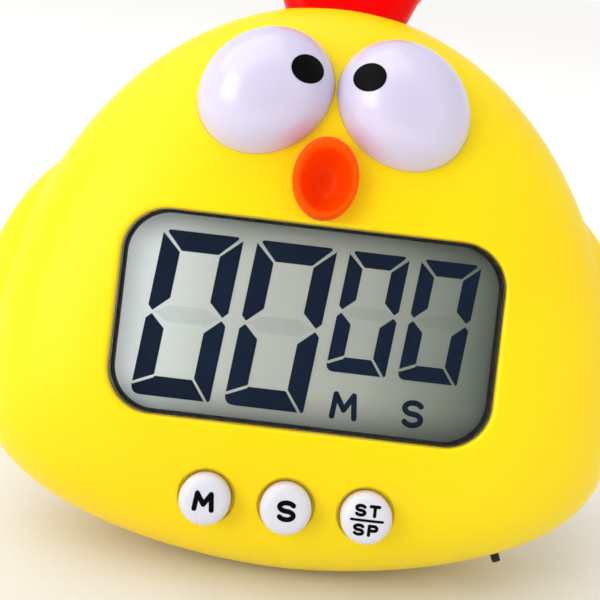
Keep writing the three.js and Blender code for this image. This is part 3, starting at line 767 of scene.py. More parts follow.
def dome_rings(side, angle, grow=0.0):
    """The outer dome's rings, from its rim to its pole."""
    x, y, tilt = EYES[side]
    outline = oval_reach(EYE_LONG + grow, EYE_SHORT + grow, tilt)(angle)
    return [
        ring((x, y), outline * math.cos(step) ** DOME[0], angle,
             EYE_BASE + grow + EYE_RISE * math.sin(step) ** DOME[1])
        for step in np.linspace(0, math.pi / 2 - 0.04, 40)
    ]


def make_eye(side):
    """Inner dome down to the rim, out, and up the outer dome again, as one closed stack."""
    x, y, tilt = EYES[side]
    angle = angles(128)
    outline = oval_reach(EYE_LONG, EYE_SHORT, tilt)(angle)
    steps = np.linspace(math.pi / 2 - 0.04, 0, 40)
    rings = []
    for step in steps:
        scale = math.cos(step) ** DOME[0]
        height = EYE_BASE + (EYE_RISE - EYE_WALL) * math.sin(step) ** DOME[1]
        rings.append(ring((x, y), (outline - EYE_WALL) * scale, angle, height))
    rings.append(ring((x, y), outline - EYE_WALL, angle, EYE_FOOT))
    rings.append(ring((x, y), outline, angle, EYE_FOOT))
    rings += dome_rings(side, angle)
    eye = make_object(f"eye_dome_{side}", stack(rings))
    finish_piece(eye, eye_abs, "timer", [f"eye_{side}"])


def make_pupil(side, centre, size, tilt):
    """An oval film laid on the dome: rings of one oval, each lifted to the dome's height."""
    x, y, eye_tilt = EYES[side]
    angle = angles(64)
    outline = oval_reach(*size, tilt)(angle)
    rings = []
    for lift, shares in ((0.05, np.linspace(0.02, 1, 14)), (-0.05, np.linspace(1, 0.02, 14))):
        for share in shares:
            flat = ring(centre, outline * share, angle, 0.0)
            away = np.arctan2(flat[:, 1] - y, flat[:, 0] - x)
            distance = np.hypot(flat[:, 1] - y, flat[:, 0] - x)
            out = distance / oval_reach(EYE_LONG, EYE_SHORT, eye_tilt)(away)
            rings.append(np.column_stack([flat[:, :2], dome_height(out) + lift]))
    pupil = make_object(f"pupil_{side}", stack(rings))
    finish_piece(pupil, pad_ink, "timer")


for side in EYES:
    make_eye(side)
make_pupil("left", (-3.62, 28.0), (2.0, 1.82), 0)
make_pupil("right", (3.98, 27.85), (1.97, 1.82), 0)

# %% [markdown]
# ## Beak
# The beak is a small open cup, as if the chick were calling: an oval wall that grows out of the
# face, a full round rim, and a bowl that falls away inside. Its outer wall follows the face, so
# there is no gap under it, and a throat carries it through the case.

# %% Beak
BEAK = (0.1, 15.2)
BEAK_HALF = (4.14, 5.17)
BEAK_BOWL = (0.24, 14.95)
BEAK_TOP = 22.9
BEAK_RIM = 0.135
BOWL_DEPTH = 3.3


def make_beak():
    """Rings by share of the oval: throat, flange under the wall, wall, round rim, bowl."""
    angle = angles(120)
    outline = oval_reach(*BEAK_HALF, 0)(angle)
    throat = oval_reach(3.2, 3.6, 0)(angle)
    rings = [ring(BEAK, throat, angle, 16.2)]
    for distance in (throat, outline * 0.985):
        flat = ring(BEAK, distance, angle, 0.0)
        rings.append(np.column_stack([flat[:, :2], face_height(flat[:, 0], flat[:, 1]) + 0.02]))
    rings.append(ring(BEAK, outline, angle, 21.7))
    for step in np.linspace(0, math.pi, 17):
        share = 1 - BEAK_RIM + BEAK_RIM * math.cos(step)
        inward = (1 - share) / (2 * BEAK_RIM)
        hub = (BEAK[0] + (BEAK_BOWL[0] - BEAK[0]) * inward, BEAK[1] + (BEAK_BOWL[1] - BEAK[1]) * inward)
        rings.append(ring(hub, outline * share, angle, BEAK_TOP + 1.2 * math.sin(step)))
    for share in np.sin(np.linspace(math.pi / 2, 0.03, 26))[1:]:
        sunk = BEAK_TOP - BOWL_DEPTH * (1 - share ** 2.6) ** 0.6
        rings.append(ring(BEAK_BOWL, outline * share * (1 - 2 * BEAK_RIM), angle, sunk))
    beak = make_object("beak_cup", stack(rings))
    finish_piece(beak, orange_pp, "timer", ["beak"], sharp=50)


make_beak()

# %% [markdown]
# ## Comb
# The comb is a flat red moulding with three round lobes on a flaring neck, clamped between the
# two halves. Its outline is star-shaped about a point in the neck, so one reach per direction
# gives it. The sides are pillowed: each ring shrinks towards that point as it rises.

# %% Comb
COMB_HUB = (0.5, 41.5)
COMB_MIDDLE = 9.9
COMB_LOBES = [(-6.8, 45.6, 3.9), (0.5, 47.7, 4.7), (7.8, 45.6, 3.9)]
COMB_NECK = [(5.6, 34.4), (8.4, 39.4), (11.1, 46.0)]


def inside_comb(grow=0.0):
    """Inside the flaring neck, or inside any of the lobes."""
    levels = [y for _, y in COMB_NECK]
    halves = [half for half, _ in COMB_NECK]

    def test(x, y):
        half = np.interp(y, levels, halves) + grow
        within = (np.abs(x - COMB_HUB[0]) < half) & (y > levels[0] - grow) & (y < levels[-1])
        for lobe_x, lobe_y, radius in COMB_LOBES:
            within = within | (np.hypot(x - lobe_x, y - lobe_y) < radius + grow)
        return within
    return test


def comb_shape(grow=0.0):
    """Rings shrink as cos(a)^0.35 while they rise as sin(a), from one side to the other."""
    angle = angles(300)
    outline = reach(inside_comb(grow), COMB_HUB, angle)
    soft = np.convolve(np.tile(outline, 3), np.hanning(9) / np.hanning(9).sum(), "same")[300:600]
    steps = np.linspace(-math.pi / 2 + 0.02, math.pi / 2 - 0.02, 49)
    return stack([
        ring(COMB_HUB, soft * math.cos(step) ** 0.35, angle, COMB_MIDDLE + (3 + grow) * math.sin(step))
        for step in steps
    ])


comb = make_object("comb_moulding", comb_shape())
comb = combine(comb, [make_object("foot", box_shape(-8, 9, 32.6, 35.2, 7.8, 12))], "UNION")
finish_piece(comb, red_abs, "timer", ["comb"], sharp=50)
print("comb size, mm:", [round(d / MM, 1) for d in comb.dimensions])

# %% [markdown]
# ## Slide switch
# A small black knob comes out at the parting line, low on the right-hand edge. The slot that it
# runs in is cut from both halves. It is drawn in a frame of its own: along the edge, out of it,
# and z. The edge's direction there comes from the outline's formula.

# %% Slide switch
KNOB_X = 29.1
KNOB_TRAVEL = 2.0

knob_share = KNOB_X / BODY["half"]
knob_drop = BODY["low"] * (1 - knob_share ** BODY["across"]) ** (1 / BODY["down"])
slope = np.array([
    BODY["across"] / BODY["half"] * knob_share ** (BODY["across"] - 1),
    -BODY["down"] / BODY["low"] * (knob_drop / BODY["low"]) ** (BODY["down"] - 1),
])
EDGE_OUT = slope / np.hypot(*slope)
EDGE_ALONG = np.array([EDGE_OUT[1], -EDGE_OUT[0]])
EDGE_POINT = np.array([KNOB_X, BODY["waist"] - knob_drop])


def on_edge(points):
    """(along, out, z) at the slide switch becomes (x, y, z) of the timer."""
    points = np.asarray(points, float)
    flat = EDGE_POINT + points[..., :1] * EDGE_ALONG + points[..., 1:2] * EDGE_OUT
    return np.concatenate([flat, PARTING + points[..., 2:]], -1)


def slot_shape():
    """The knob's slot: the knob, its travel and a little room."""
    points, faces = box_shape(-0.8, 0.8 + KNOB_TRAVEL, -4, 2, -0.8, 0.8)
    return on_edge(points), faces


def make_knob():
    """A round-cornered bar, its outer end domed and ridged so that a nail catches it."""
    section = {"centre": (0.0, 0.0), "size": (1.2, 1.2), "corner": 0.25}
    angle = angles(48)
    rings = []
    for out, grow in [(-5.0, -0.1), (-4.9, 0.0), (0.3, 0.0), (0.4, 0.0), (0.55, -0.1), (0.7, 0.0),
                      (0.85, -0.1), (1.0, 0.0), (1.15, -0.1), (1.3, -0.02), (1.42, -0.1), (1.5, -0.25)]:
        flat = ring((0, 0), reach(inside_plate(section, grow), (0, 0), angle, far=3.0), angle, out)
        rings.append(on_edge(flat[:, [0, 2, 1]]))
    knob = make_object("switch_knob", stack(rings))
    finish_piece(knob, black_acetal, "slide_switch", ["slide_switch_knob"], sharp=50)


make_knob()
print("knob comes out at", EDGE_POINT.round(1))

# %% [markdown]
# ## Opening the front
# First come the screw posts behind the face. Then all the holes are cut: two eyes, the beak's
# throat, three buttons, the comb's and the switch's slots. An eye's hole is the dome itself,
# grown by two hundredths of a millimetre, so the face closes round it. Last, each button gets a
# collar that guides it: its shelf, just below the face, shows as a warm line round the cap.

# %% Cut the front shell
BUTTONS = {"minute": -10.2, "second": -0.05, "start_stop": 10.05}
BUTTON_Y = -26.0
BUTTON_HOLE = 3.6
COLLAR_OUTER, COLLAR_INNER = 4.4, 3.28
COLLAR_FOOT, COLLAR_SUNK = 16.1, 0.8
CASE_SCREWS = [(20, 28.5), (-20, 28.5), (33.5, -16), (-33.5, -16)]
BOARD_SCREWS = [(29.6, 3), (-29.6, 3), (20, -22.5), (-20, -22.5)]


def collar_shape(x):
    """A collar in a button's hole: its top is a shelf just below the face."""
    angle = angles(96)
    rings = []
    for radius in (COLLAR_OUTER, COLLAR_INNER):
        flat = ring((x, BUTTON_Y), np.full(96, radius), angle, COLLAR_FOOT)
        shelf = np.column_stack([flat[:, :2], face_height(flat[:, 0], flat[:, 1]) - COLLAR_SUNK])
        rings += [flat, shelf] if radius == COLLAR_OUTER else [shelf, flat]
    return stack(rings, closed=True)


def post_shape(x, y, radius, low):
    """A screw post from a level up into the face's wall, where that is lowest over the post."""
    rim = ring((x, y), np.full(40, radius), angles(40), 0.0)
    return disc_shape(x, y, radius, low, face_height(rim[:, 0], rim[:, 1]).min() - 0.7, 40)


posts = [post_shape(x, y, 2.6, 9.65) for x, y in CASE_SCREWS]
posts += [post_shape(x, y, 1.9, 10.3) for x, y in BOARD_SCREWS]
combine(front_case, [make_object("post", shape) for shape in posts], "UNION")
cutters = [make_object("bore", disc_shape(x, y, 1.4, 6.5, 13.4, 32)) for x, y in CASE_SCREWS]
cutters += [make_object("bore", disc_shape(x, y, 1.2, 6.5, 13.4, 32)) for x, y in BOARD_SCREWS]
for side in EYES:
    dome = dome_rings(side, angles(160), 0.02)
    foot = dome[0] - np.array([0.0, 0.0, 6.0])
    cutters.append(make_object(f"hole {side}", stack([foot] + dome)))
for name, x in BUTTONS.items():
    cutters.append(mouth_cutter(f"hole {name}", (x, BUTTON_Y), round_reach(BUTTON_HOLE), 12, 0.3))
cutters.append(mouth_cutter("hole throat", BEAK, oval_reach(3.3, 3.7, 0), 12, 0.1))
cutters.append(make_object("comb slot", comb_shape(0.12)))
cutters.append(make_object("knob slot", slot_shape()))
combine(front_case, cutters)
combine(front_case, [make_object("collar", collar_shape(x)) for x in BUTTONS.values()], "UNION")
finish_piece(front_case, yellow_abs, "timer", ["front_shell"])

# %% [markdown]
# ## The rear half
# The same rays carry the rear half from the middle of its flat back out to the parting line.
# Its inside is a second, smaller solid, taken away except where posts, pockets and the battery
# bay fill it. Then come the recess for the stand, the lid's seat, screw wells, magnet pockets,
# holes for the battery's wires and for the sound, and the small flat at the bottom that the
# timer stands on.

# %% Rear shell
STAND_HALF = 8.0
LATCH = 12
BACK_WALL = 1.8
# Places and radii of the magnets, left and right alike, and of the sounder.
MAGNET = (26.0, 2.0, 5.0)
BUZZER = (-20.5, -17.0, 8.5)
CELL = {"y": 16.0, "z": 7.4, "radius": 5.25}


def back_half(edge_of, height, seam, flat, shares):
    """A solid from a pole on the back out to the edge, closed across the parting line."""
    rings = []
    for share in shares:
        level = ring(HUB, edge_of * share, rays, 0.0)
        z = np.minimum(height(level[:, 0], level[:, 1]), flat - seam)
        rings.append(np.column_stack([level[:, :2], z]))
    rings.append(ring(HUB, edge_of * 0.02, rays, flat - seam))
    return stack(rings)


def bay_shape(radius, half, low):
    """The battery bay's channel: straight walls under a half-round roof, carried along x."""
    bend = np.linspace(0, math.pi, 25)
    y = np.concatenate([[CELL["y"] + radius], CELL["y"] + radius * np.cos(bend), [CELL["y"] - radius]])
    z = np.concatenate([[low], CELL["z"] + radius * np.sin(bend), [low]])
    return stack([np.column_stack([np.full_like(y, x), y, z]) for x in (-half, half)])


def bar_shape(x0, x1, y, z, radius, sectors=32):
    """A round bar along x."""
    angle = angles(sectors)
    return stack([
        np.column_stack([np.full(sectors, x), y + radius * np.cos(angle), z + radius * np.sin(angle)])
        for x in (x0, x1)
    ])


crowded = 0.8 + 0.2 * np.sin(np.linspace(0, math.pi / 2, 48))
out_shares = np.concatenate([np.linspace(0.03, 0.8, 24)[:-1], crowded])
rear_case = make_object("rear_case", back_half(edge, back_height, SEAM, PARTING, out_shares))
hollow = make_object("hollow", back_half(
    body_reach(rays) - BACK_WALL, lambda x, y: back_height(x, y, BACK_WALL, False),
    -1.0, PARTING, out_shares))
fills = [box_shape(-STAND_HALF - 2.4, STAND_HALF + 2.4, -60, 5.5, -1, 4.8), bay_shape(6.9, 26.5, -1)]
fills += [disc_shape(x, y, 3.6, -1, PARTING - 0.5) for x, y in CASE_SCREWS]
fills += [disc_shape(side * MAGNET[0], MAGNET[1], MAGNET[2] + 1.6, -1, 4.2) for side in (1, -1)]
fills.append(disc_shape(*BUZZER, -1, 4))
combine(hollow, [make_object("fill", shape) for shape in fills])
combine(rear_case, [hollow])


def flat_level(x, y):
    """The flat back."""
    return np.zeros_like(x)


def plate_reach(box, grow=0.0):
    """The reach of a round-cornered rectangle about its own centre."""
    return lambda angle: reach(inside_plate(box, grow), box["centre"], angle)


def under_floor():
    """All that lies under the floor, in the leaned frame."""
    points, faces = box_shape(-30, 30, -40, 40, -12, 0)
    return points * MM, faces


def back_cutter(name, hub, distance, depth, radius, sectors=96):
    """A hole or pocket in the back, with a rounded mouth."""
    return mouth_cutter(name, hub, distance, depth, radius, flat_level, -1, sectors)


recess = {"centre": (0.0, -28.05), "size": (16.8, 63.9), "corner": 1.2}
cutters = [back_cutter("stand recess", recess["centre"], plate_reach(recess), 3.3, 0.4, 240)]
cutters.append(make_object("pin holes", bar_shape(-9.7, 9.7, HINGE[1], HINGE[2], 1.15)))
cutters.append(back_cutter("lid seat", DOOR["centre"], plate_reach(DOOR, 0.3), 1.7, 0.1, 360))
cutters.append(make_object("bay", bay_shape(5.7, 25.3, -1)))
for x, y in CASE_SCREWS:
    cutters.append(back_cutter("screw well", (x, y), round_reach(2.7), 2.9, 0.25, 64))
for side in (1, -1):
    cutters.append(back_cutter("pocket", (side * MAGNET[0], MAGNET[1]), round_reach(5.12), 2.7, 0.2))
    middle = side * LATCH
    cutters.append(make_object("latch slot", box_shape(middle - 2.4, middle + 2.4, 8, 12.5, 1.4, 4.4)))
for x in (24.6, -24.8):
    cutters.append(make_object("wire hole", box_shape(x - 0.9, x + 0.9, 8, 12, 7.1, 8.9)))
cutters.append(make_object("sound chamber", disc_shape(BUZZER[0], BUZZER[1], 7.3, 1.8, 6)))
for x, y in [(0, 0), (3, 0), (-3, 0), (0, 3), (0, -3)]:
    place = (BUZZER[0] + x, BUZZER[1] + y)
    cutters.append(back_cutter("sound hole", place, round_reach(0.7), 3, 0.15, 32))
cutters.append(make_object("comb slot", comb_shape(0.12)))
cutters.append(make_object("knob slot", slot_shape()))
cutters.append(make_object("floor", under_floor(), in_row=True))
combine(rear_case, cutters)
finish_piece(rear_case, etched_abs, "timer", ["rear_shell"])

# %% [markdown]
# ## Window, seal and screen
# The acrylic window sits a little below the face, with its edges rounded by the cutter that made
# it. A black rubber ring under its edge draws the dark line round the screen. Behind it, the
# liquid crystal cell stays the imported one, because it is a plain plate.

# %% Window and seal


def soft_plate(box, low, high, grow=0.0, fillet=0.3, sectors=240):
    """A round-cornered plate whose two edges are rounded by quarter circles."""
    angle = angles(sectors)
    turns = np.linspace(0, math.pi / 2, 5)
    rows = [(low + fillet * (1 - math.sin(a)), -fillet * (1 - math.cos(a))) for a in turns[::-1]]
    rows += [(high - fillet * (1 - math.sin(a)), -fillet * (1 - math.cos(a))) for a in turns]
    hub = box["centre"]
    return stack([
        ring(hub, reach(inside_plate(box, grow + offset), hub, angle), angle, z) for z, offset in rows
    ])


lens = make_object("window_lens", soft_plate(WINDOW, 18.6, 20.2, -0.12, 0.15, 320))
finish_piece(lens, window_acrylic, "timer", ["screen_lens"])

SEAL = [(-0.03, 16.9), (-0.03, 18.2), (-0.08, 18.3), (-0.3, 18.3), (-0.36, 18.2), (-0.36, 16.9)]
seal_rings = [
    ring(WINDOW["centre"], plate_reach(WINDOW, grow)(rays), rays, z) for grow, z in SEAL
]
seal = make_object("window_seal", stack(seal_rings, closed=True))
finish_piece(seal, black_rubber, "timer", ["screen_gasket"])

# %% [markdown]
# ## The figures on the screen
# Each figure has seven strokes that lean a little to the right. A stroke is a flat outline: its
# ends are cut at a slant where it meets the next one, and the figure's outer corners are
# rounded. An outline becomes a film by lifting it off the glass by a few hundredths of a
# millimetre. Zero lights every stroke but the middle one, which shows only as a faint ghost.

# %% Figures
GLASS_TOP = 16.6
FILM = (GLASS_TOP + 0.01, GLASS_TOP + 0.05)
SLANT = 0.093


def rounded(corners):
    """An outline from (x, y, radius) corners; a corner with a radius becomes a short smooth bend."""
    places = np.array([corner[:2] for corner in corners])
    points = []
    for index, (x, y, radius) in enumerate(corners):
        here = np.array([x, y])
        if radius == 0:
            points.append(here)
            continue
        before = places[index - 1] - here
        after = places[(index + 1) % len(places)] - here
        start = here + before / np.hypot(*before) * radius
        end = here + after / np.hypot(*after) * radius
        share = np.linspace(0, 1, 9)[:, None]
        points += list((1 - share) ** 2 * start + 2 * share * (1 - share) * here + share ** 2 * end)
    return np.array(points)


def film(outline, low, high):
    """A flat outline as a thin solid between two heights, its two faces one many-sided face each."""
    count = len(outline)
    points = np.vstack([np.column_stack([outline, np.full(count, z)]) for z in (low, high)])
    faces = [list(range(count))[::-1], list(range(count, 2 * count))]
    faces += [[i, (i + 1) % count, count + (i + 1) % count, count + i] for i in range(count)]
    return points, faces


def figure_strokes(w, h, t, gap):
    """The strokes of an upright figure w wide, h high, of stroke t; the middle one comes last."""
    m = h / 2
    g = gap / 2
    tip = 0.25 * t
    top = [(1.4 * g, h, 0.3 * t), (w - 1.4 * g, h, 0.3 * t), (w - t - g, h - t, 0), (t + g, h - t, 0)]
    upper_left = [(0, h - 2 * g, 0), (t, h - t - g, 0), (t, m + 0.7 * t + g, 0), (tip, m + g, 0),
                  (0, m + tip + g, 0)]
    upper_right = [(w - x, y, r) for x, y, r in upper_left]
    bottom = [(0, 0.55 * t - g, 0.1), (t, t - g, 0), (t + 0.1, t, 0), (w - t - g, t, 0),
              (w - 0.2 * t - g, 0, 0), (0, 0, 0.55 * t)]
    lower_left = [(0, 0.55 * t + g, 0), (t, t + g, 0), (t, m - 0.7 * t - g, 0), (tip, m - g, 0),
                  (0, m - tip - g, 0)]
    lower_right = [(w - t, t + g, 0), (w - 0.2 * t + g, 0, 0), (w, 0, 0.15 * t), (w, m - tip - g, 0),
                   (w - tip, m - g, 0), (w - t, m - 0.7 * t - g, 0)]
    middle = [(tip + g, m, 0), (t + g, m + t / 2 - g, 0), (w - t - g, m + t / 2 - g, 0),
              (w - tip - g, m, 0), (w - t - g, m - t / 2 + g, 0), (t + g, m - t / 2 + g, 0)]
    return [top, upper_left, upper_right, bottom, lower_left, lower_right, middle]


def leaned(outline, left, bottom, level):
    """Puts an upright outline on the glass and leans it to the right about a level."""
    y = outline[:, 1] + bottom
    return np.column_stack([outline[:, 0] + left + SLANT * (y - level), y])


lit = []
faint = []
for left, level, bottom, w, h, t in [
    (-20.7, -2.6, -14.53, 10.4, 21.67, 2.6), (-8.5, -2.6, -14.53, 10.4, 21.67, 2.6),
    (3.81, 0.0, -8.7, 7.79, 15.83, 2.02), (13.15, 0.0, -8.7, 7.79, 15.83, 2.02),
]:
    outlines = [leaned(rounded(stroke), left, bottom, level) for stroke in figure_strokes(w, h, t, 0.42)]
    lit += [film(outline, *FILM) for outline in outlines[:-1]]
    faint.append(film(outlines[-1], *FILM))
figures = make_object("screen_figures", merged(lit))
finish_piece(figures, lit_dye, "timer")
ghosts = make_object("screen_ghost_strokes", merged(faint))
finish_piece(ghosts, faint_dye, "timer")

# %% [markdown]
# ## Lettering
# The letters on the buttons and on the screen are rounded strokes of even width. A stroke is a
# path with a width that closes to nothing at both ends along a half circle. Letters are made
# from such strokes joined into one film, and on a button the film follows the cap's dome.

# %% Lettering


def stroke_shape(path, width, low, high):
    """A ribbon along a path with half-round ends: four points at each station, above and below."""
    path = np.asarray(path, float)
    half = width / 2
    cap = half * np.sin(np.linspace(math.pi / 2, 0, 9))[:-1]
    ahead = (path[0] - path[1]) / np.hypot(*(path[0] - path[1]))
    behind = (path[-1] - path[-2]) / np.hypot(*(path[-1] - path[-2]))
    line = np.vstack([path[0] + np.outer(cap, ahead), path, path[-1] + np.outer(cap[::-1], behind)])
    cap_half = np.sqrt(np.maximum(half ** 2 - cap ** 2, 0.02 ** 2))
    halves = np.concatenate([cap_half, np.full(len(path), half), cap_half[::-1]])
    run = np.gradient(line, axis=0)
    run /= np.hypot(run[:, 0], run[:, 1])[:, None]
    side = np.column_stack([-run[:, 1], run[:, 0]]) * halves[:, None]
    stations = []
    for offset, z in ((side, low), (side, high), (-side, high), (-side, low)):
        stations.append(np.column_stack([line + offset, np.full(len(line), z)]))
    return stack(np.stack(stations, 1))


def straight(*corners):
    """A path of straight runs, with a few points along each."""
    return [np.linspace(corners[i], corners[i + 1], 6) for i in range(len(corners) - 1)]


def letter_paths(letter, w, h):
    """The strokes of a letter in a box of width w and height h about its centre."""
    x, y = w / 2, h / 2
    if letter == "M":
        return straight((-x, -y), (-x * 0.8, y), (0, -y * 0.35), (x * 0.8, y), (x, -y))
    if letter == "T":
        return straight((-x, y), (x, y)) + straight((0, y), (0, -y))
    if letter == "P":
        bend = np.linspace(math.pi / 2, -math.pi / 2, 16)
        bowl = np.column_stack([x * 0.2 + x * 0.8 * np.cos(bend), y / 2 + y / 2 * np.sin(bend)])
        bowl = np.vstack([[-x, y], bowl, [-x, 0]])
        return straight((-x, -y), (-x, y)) + [bowl]
    upper = np.linspace(math.radians(28), math.radians(270), 26)
    lower = np.linspace(math.radians(90), math.radians(-152), 26)[1:]
    return [np.vstack([
        np.column_stack([x * np.cos(upper), y / 2 + y / 2 * np.sin(upper)]),
        np.column_stack([x * np.cos(lower), -y / 2 + y / 2 * np.sin(lower)]),
    ])]


def lettering(name, words, low, high):
    """Joins the strokes of (letter, x, y, width, height, stroke width) into one film."""
    strokes = []
    for letter, x, y, w, h, width in words:
        paths = straight((-w / 2, 0), (w / 2, 0)) if letter == "bar" else letter_paths(letter, w, h)
        for path in paths:
            strokes.append(make_object(name, stroke_shape(path + np.array([x, y]), width, low, high)))
    return combine(strokes[0], strokes[1:], "UNION") if len(strokes) > 1 else strokes[0]


captions = lettering("screen_captions", [
    ("M", 5.95, -12.98, 2.9, 2.9, 0.72), ("S", 14.9, -12.98, 2.2, 2.9, 0.72),
], *FILM)
finish_piece(captions, lit_dye, "timer")

# %% [markdown]
# ## Buttons
# Three white caps stand out of the face. Each is turned from one profile: a stem that meets the
# switch, a flange that keeps the cap in, a straight side, and a domed top whose height falls
# with the fourth power of the distance, so the top is nearly flat and the edge is well rounded.

# %% Buttons
CAP_RADIUS = 3.22
CAP_TOP = 22.9
CAP_DOME = 1.15


def cap_height(distance):
    """The cap's top at a distance from its axis."""
    share = np.clip(np.asarray(distance, float) / CAP_RADIUS, 0, 1)
    return CAP_TOP - CAP_DOME + CAP_DOME * np.sqrt(1 - share ** 4)


def turned_shape(x, y, profile, sectors=96):
    """A profile of (radius, z) pairs turned about an upright axis, ends closed by poles."""
    angle = angles(sectors)
    return stack([ring((x, y), np.full(sectors, max(radius, 0.01)), angle, z) for radius, z in profile])


def follow_cap(made, x):
    """Lifts a flat film, made at height zero, onto a cap's dome."""
    places = np.zeros(len(made.data.vertices) * 3)
    made.data.vertices.foreach_get("co", places)
    local = (places.reshape(-1, 3) / MM - SHIFT) @ AXES.T
    distance = np.hypot(local[:, 0] - x, local[:, 1] - BUTTON_Y)
    local[:, 2] += cap_height(distance)
    made.data.vertices.foreach_set("co", to_row(local).ravel())
    made.data.update()


WORDS = {
    "minute": [("M", 0, 0, 2.15, 1.95, 0.62)],
    "second": [("S", 0.12, 0, 1.8, 2.05, 0.62)],
    "start_stop": [("S", -0.9, 1.2, 1.05, 1.15, 0.4), ("T", 0.85, 1.2, 1.05, 1.15, 0.4),
                   ("bar", 0, 0, 3.9, 0, 0.32),
                   ("S", -0.9, -1.2, 1.05, 1.15, 0.4), ("P", 0.85, -1.2, 0.95, 1.15, 0.4)],
}
for name, x in BUTTONS.items():
    profile = [(0.3, 14.6), (1.5, 14.6), (1.5, 14.9), (3.9, 14.9), (4.0, 15.0), (4.0, 15.5), (3.9, 15.6),
               (CAP_RADIUS, 15.6)]
    shares = np.sin(np.linspace(math.pi / 2, 0.03, 28))
    profile += [(CAP_RADIUS * share, float(cap_height(CAP_RADIUS * share))) for share in shares]
    cap = make_object(f"{name}_cap", turned_shape(x, BUTTON_Y, profile))
    finish_piece(cap, cap_abs, f"{name}_button", [f"{name}_button"])
    words = [(letter, x + dx, BUTTON_Y + dy, w, h, width) for letter, dx, dy, w, h, width in WORDS[name]]
    ink = lettering(f"{name}_letters", words, -0.03, 0.03)
    follow_cap(ink, x)
    finish_piece(ink, pad_ink, f"{name}_button")

# %% [markdown]
# ## The back: stand, lid, magnets, screws
# The stand is a yellow leg that folds into its recess. It is a soft-edged plate with a window in
# it and a barrel with two pins at its top. The lid is a soft-edged plate with three grip
# grooves. Magnets and screws are turned from profiles.

# %% Stand
STAND_OPEN = math.radians(28)


def from_leg(points):
    """From the folded leg, whose hinge is the origin, to the opened leg on the timer."""
    points = np.asarray(points, float)
    x, y, z = points.T
    cosine, sine = math.cos(STAND_OPEN), math.sin(STAND_OPEN)
    return np.column_stack([x, y * cosine - z * sine, y * sine + z * cosine]) + HINGE


def leg_object(name, shape):
    """An object drawn on the folded leg."""
    return make_object(name, (from_leg(shape[0]), shape[1]))


leg_box = {"centre": (0.0, -20.0), "size": (16.0, 42.0), "corner": 1.0}
leg_window = {"centre": (0.0, -17.5), "size": (7.8, 19.0), "corner": 1.6}
stand = leg_object("stand_leg", soft_plate(leg_box, -1.1, 1.1, 0.0, 0.45))
slit = leg_object("leg window", soft_plate(leg_window, -3, 3, 0.0, 0.1))
outer_barrel = leg_object("barrel", bar_shape(-STAND_HALF, STAND_HALF, 0, 0, 1.4, 48))
pins = leg_object("pins", bar_shape(-9.3, 9.3, 0, 0, 1.0, 32))
floor_cut = make_object("floor", under_floor(), in_row=True)
combine(stand, [slit, floor_cut])
combine(stand, [outer_barrel, pins], "UNION")
finish_piece(stand, etched_abs, "stand", ["stand"])

# %% Battery lid, magnets and screws
lid = make_object("battery_lid", soft_plate(DOOR, 0.0, 1.35, 0.0, 0.3, 320))
grooves = []
for row in range(3):
    groove = {"centre": (0.0, 19.45 + row * 1.1), "size": (10.0, 0.5), "corner": 0.2}
    grooves.append(back_cutter("groove", groove["centre"], plate_reach(groove), 0.35, 0.1, 96))
combine(lid, grooves)
tabs = []
for middle in (LATCH, -LATCH):
    tabs.append(make_object("tab", box_shape(middle - 2, middle + 2, 9.6, 10.9, 1.1, 2.7)))
    tabs.append(make_object("tab", box_shape(middle - 2, middle + 2, 8.3, 10.8, 2.1, 2.7)))
combine(lid, tabs, "UNION")
finish_piece(lid, etched_abs, "battery_door", ["battery_door"])

MAGNET_PROFILE = [
    (0.2, -0.2), (4.5, -0.2), (4.8, -0.15), (4.95, 0.0), (5.0, 0.2), (5.0, 2.2), (4.8, 2.4), (0.2, 2.4),
]
for side, name in ((1, "right"), (-1, "left")):
    disc = make_object(f"magnet_disc_{name}", turned_shape(side * MAGNET[0], MAGNET[1], MAGNET_PROFILE))
    finish_piece(disc, magnet_nickel, "timer", [f"magnet_{name}"])


def make_screw(name, node, x, y, head, low, high, shank, tip):
    """A pan-head screw: domed head with a cross recess, round shank, pointed tip."""
    bend = np.linspace(0, math.pi / 2, 9)
    profile = [(head * (0.55 + 0.45 * math.sin(a)), low + 0.55 * (1 - math.cos(a))) for a in bend]
    profile = [(0.1, low)] + profile + [(head, high), (shank, high), (shank, tip - 0.8), (0.05, tip)]
    screw = make_object(name, turned_shape(x, y, profile, 48))
    arm, half = head * 0.55, head * 0.13
    cross = [box_shape(x - arm, x + arm, y - half, y + half, low - 1, low + 0.6),
             box_shape(x - half, x + half, y - arm, y + arm, low - 1, low + 0.6)]
    combine(screw, [make_object("cross", shape) for shape in cross])
    finish_piece(screw, nickel_steel, "timer", [node])


for index, (x, y) in enumerate(CASE_SCREWS, 1):
    make_screw(f"case_screw_fine_{index}", f"case_screw_{index}", x, y, 2.3, 1.65, 2.85, 1.0, 13.0)

# %% [markdown]
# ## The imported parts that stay
# What is inside, and the plain plates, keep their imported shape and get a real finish.

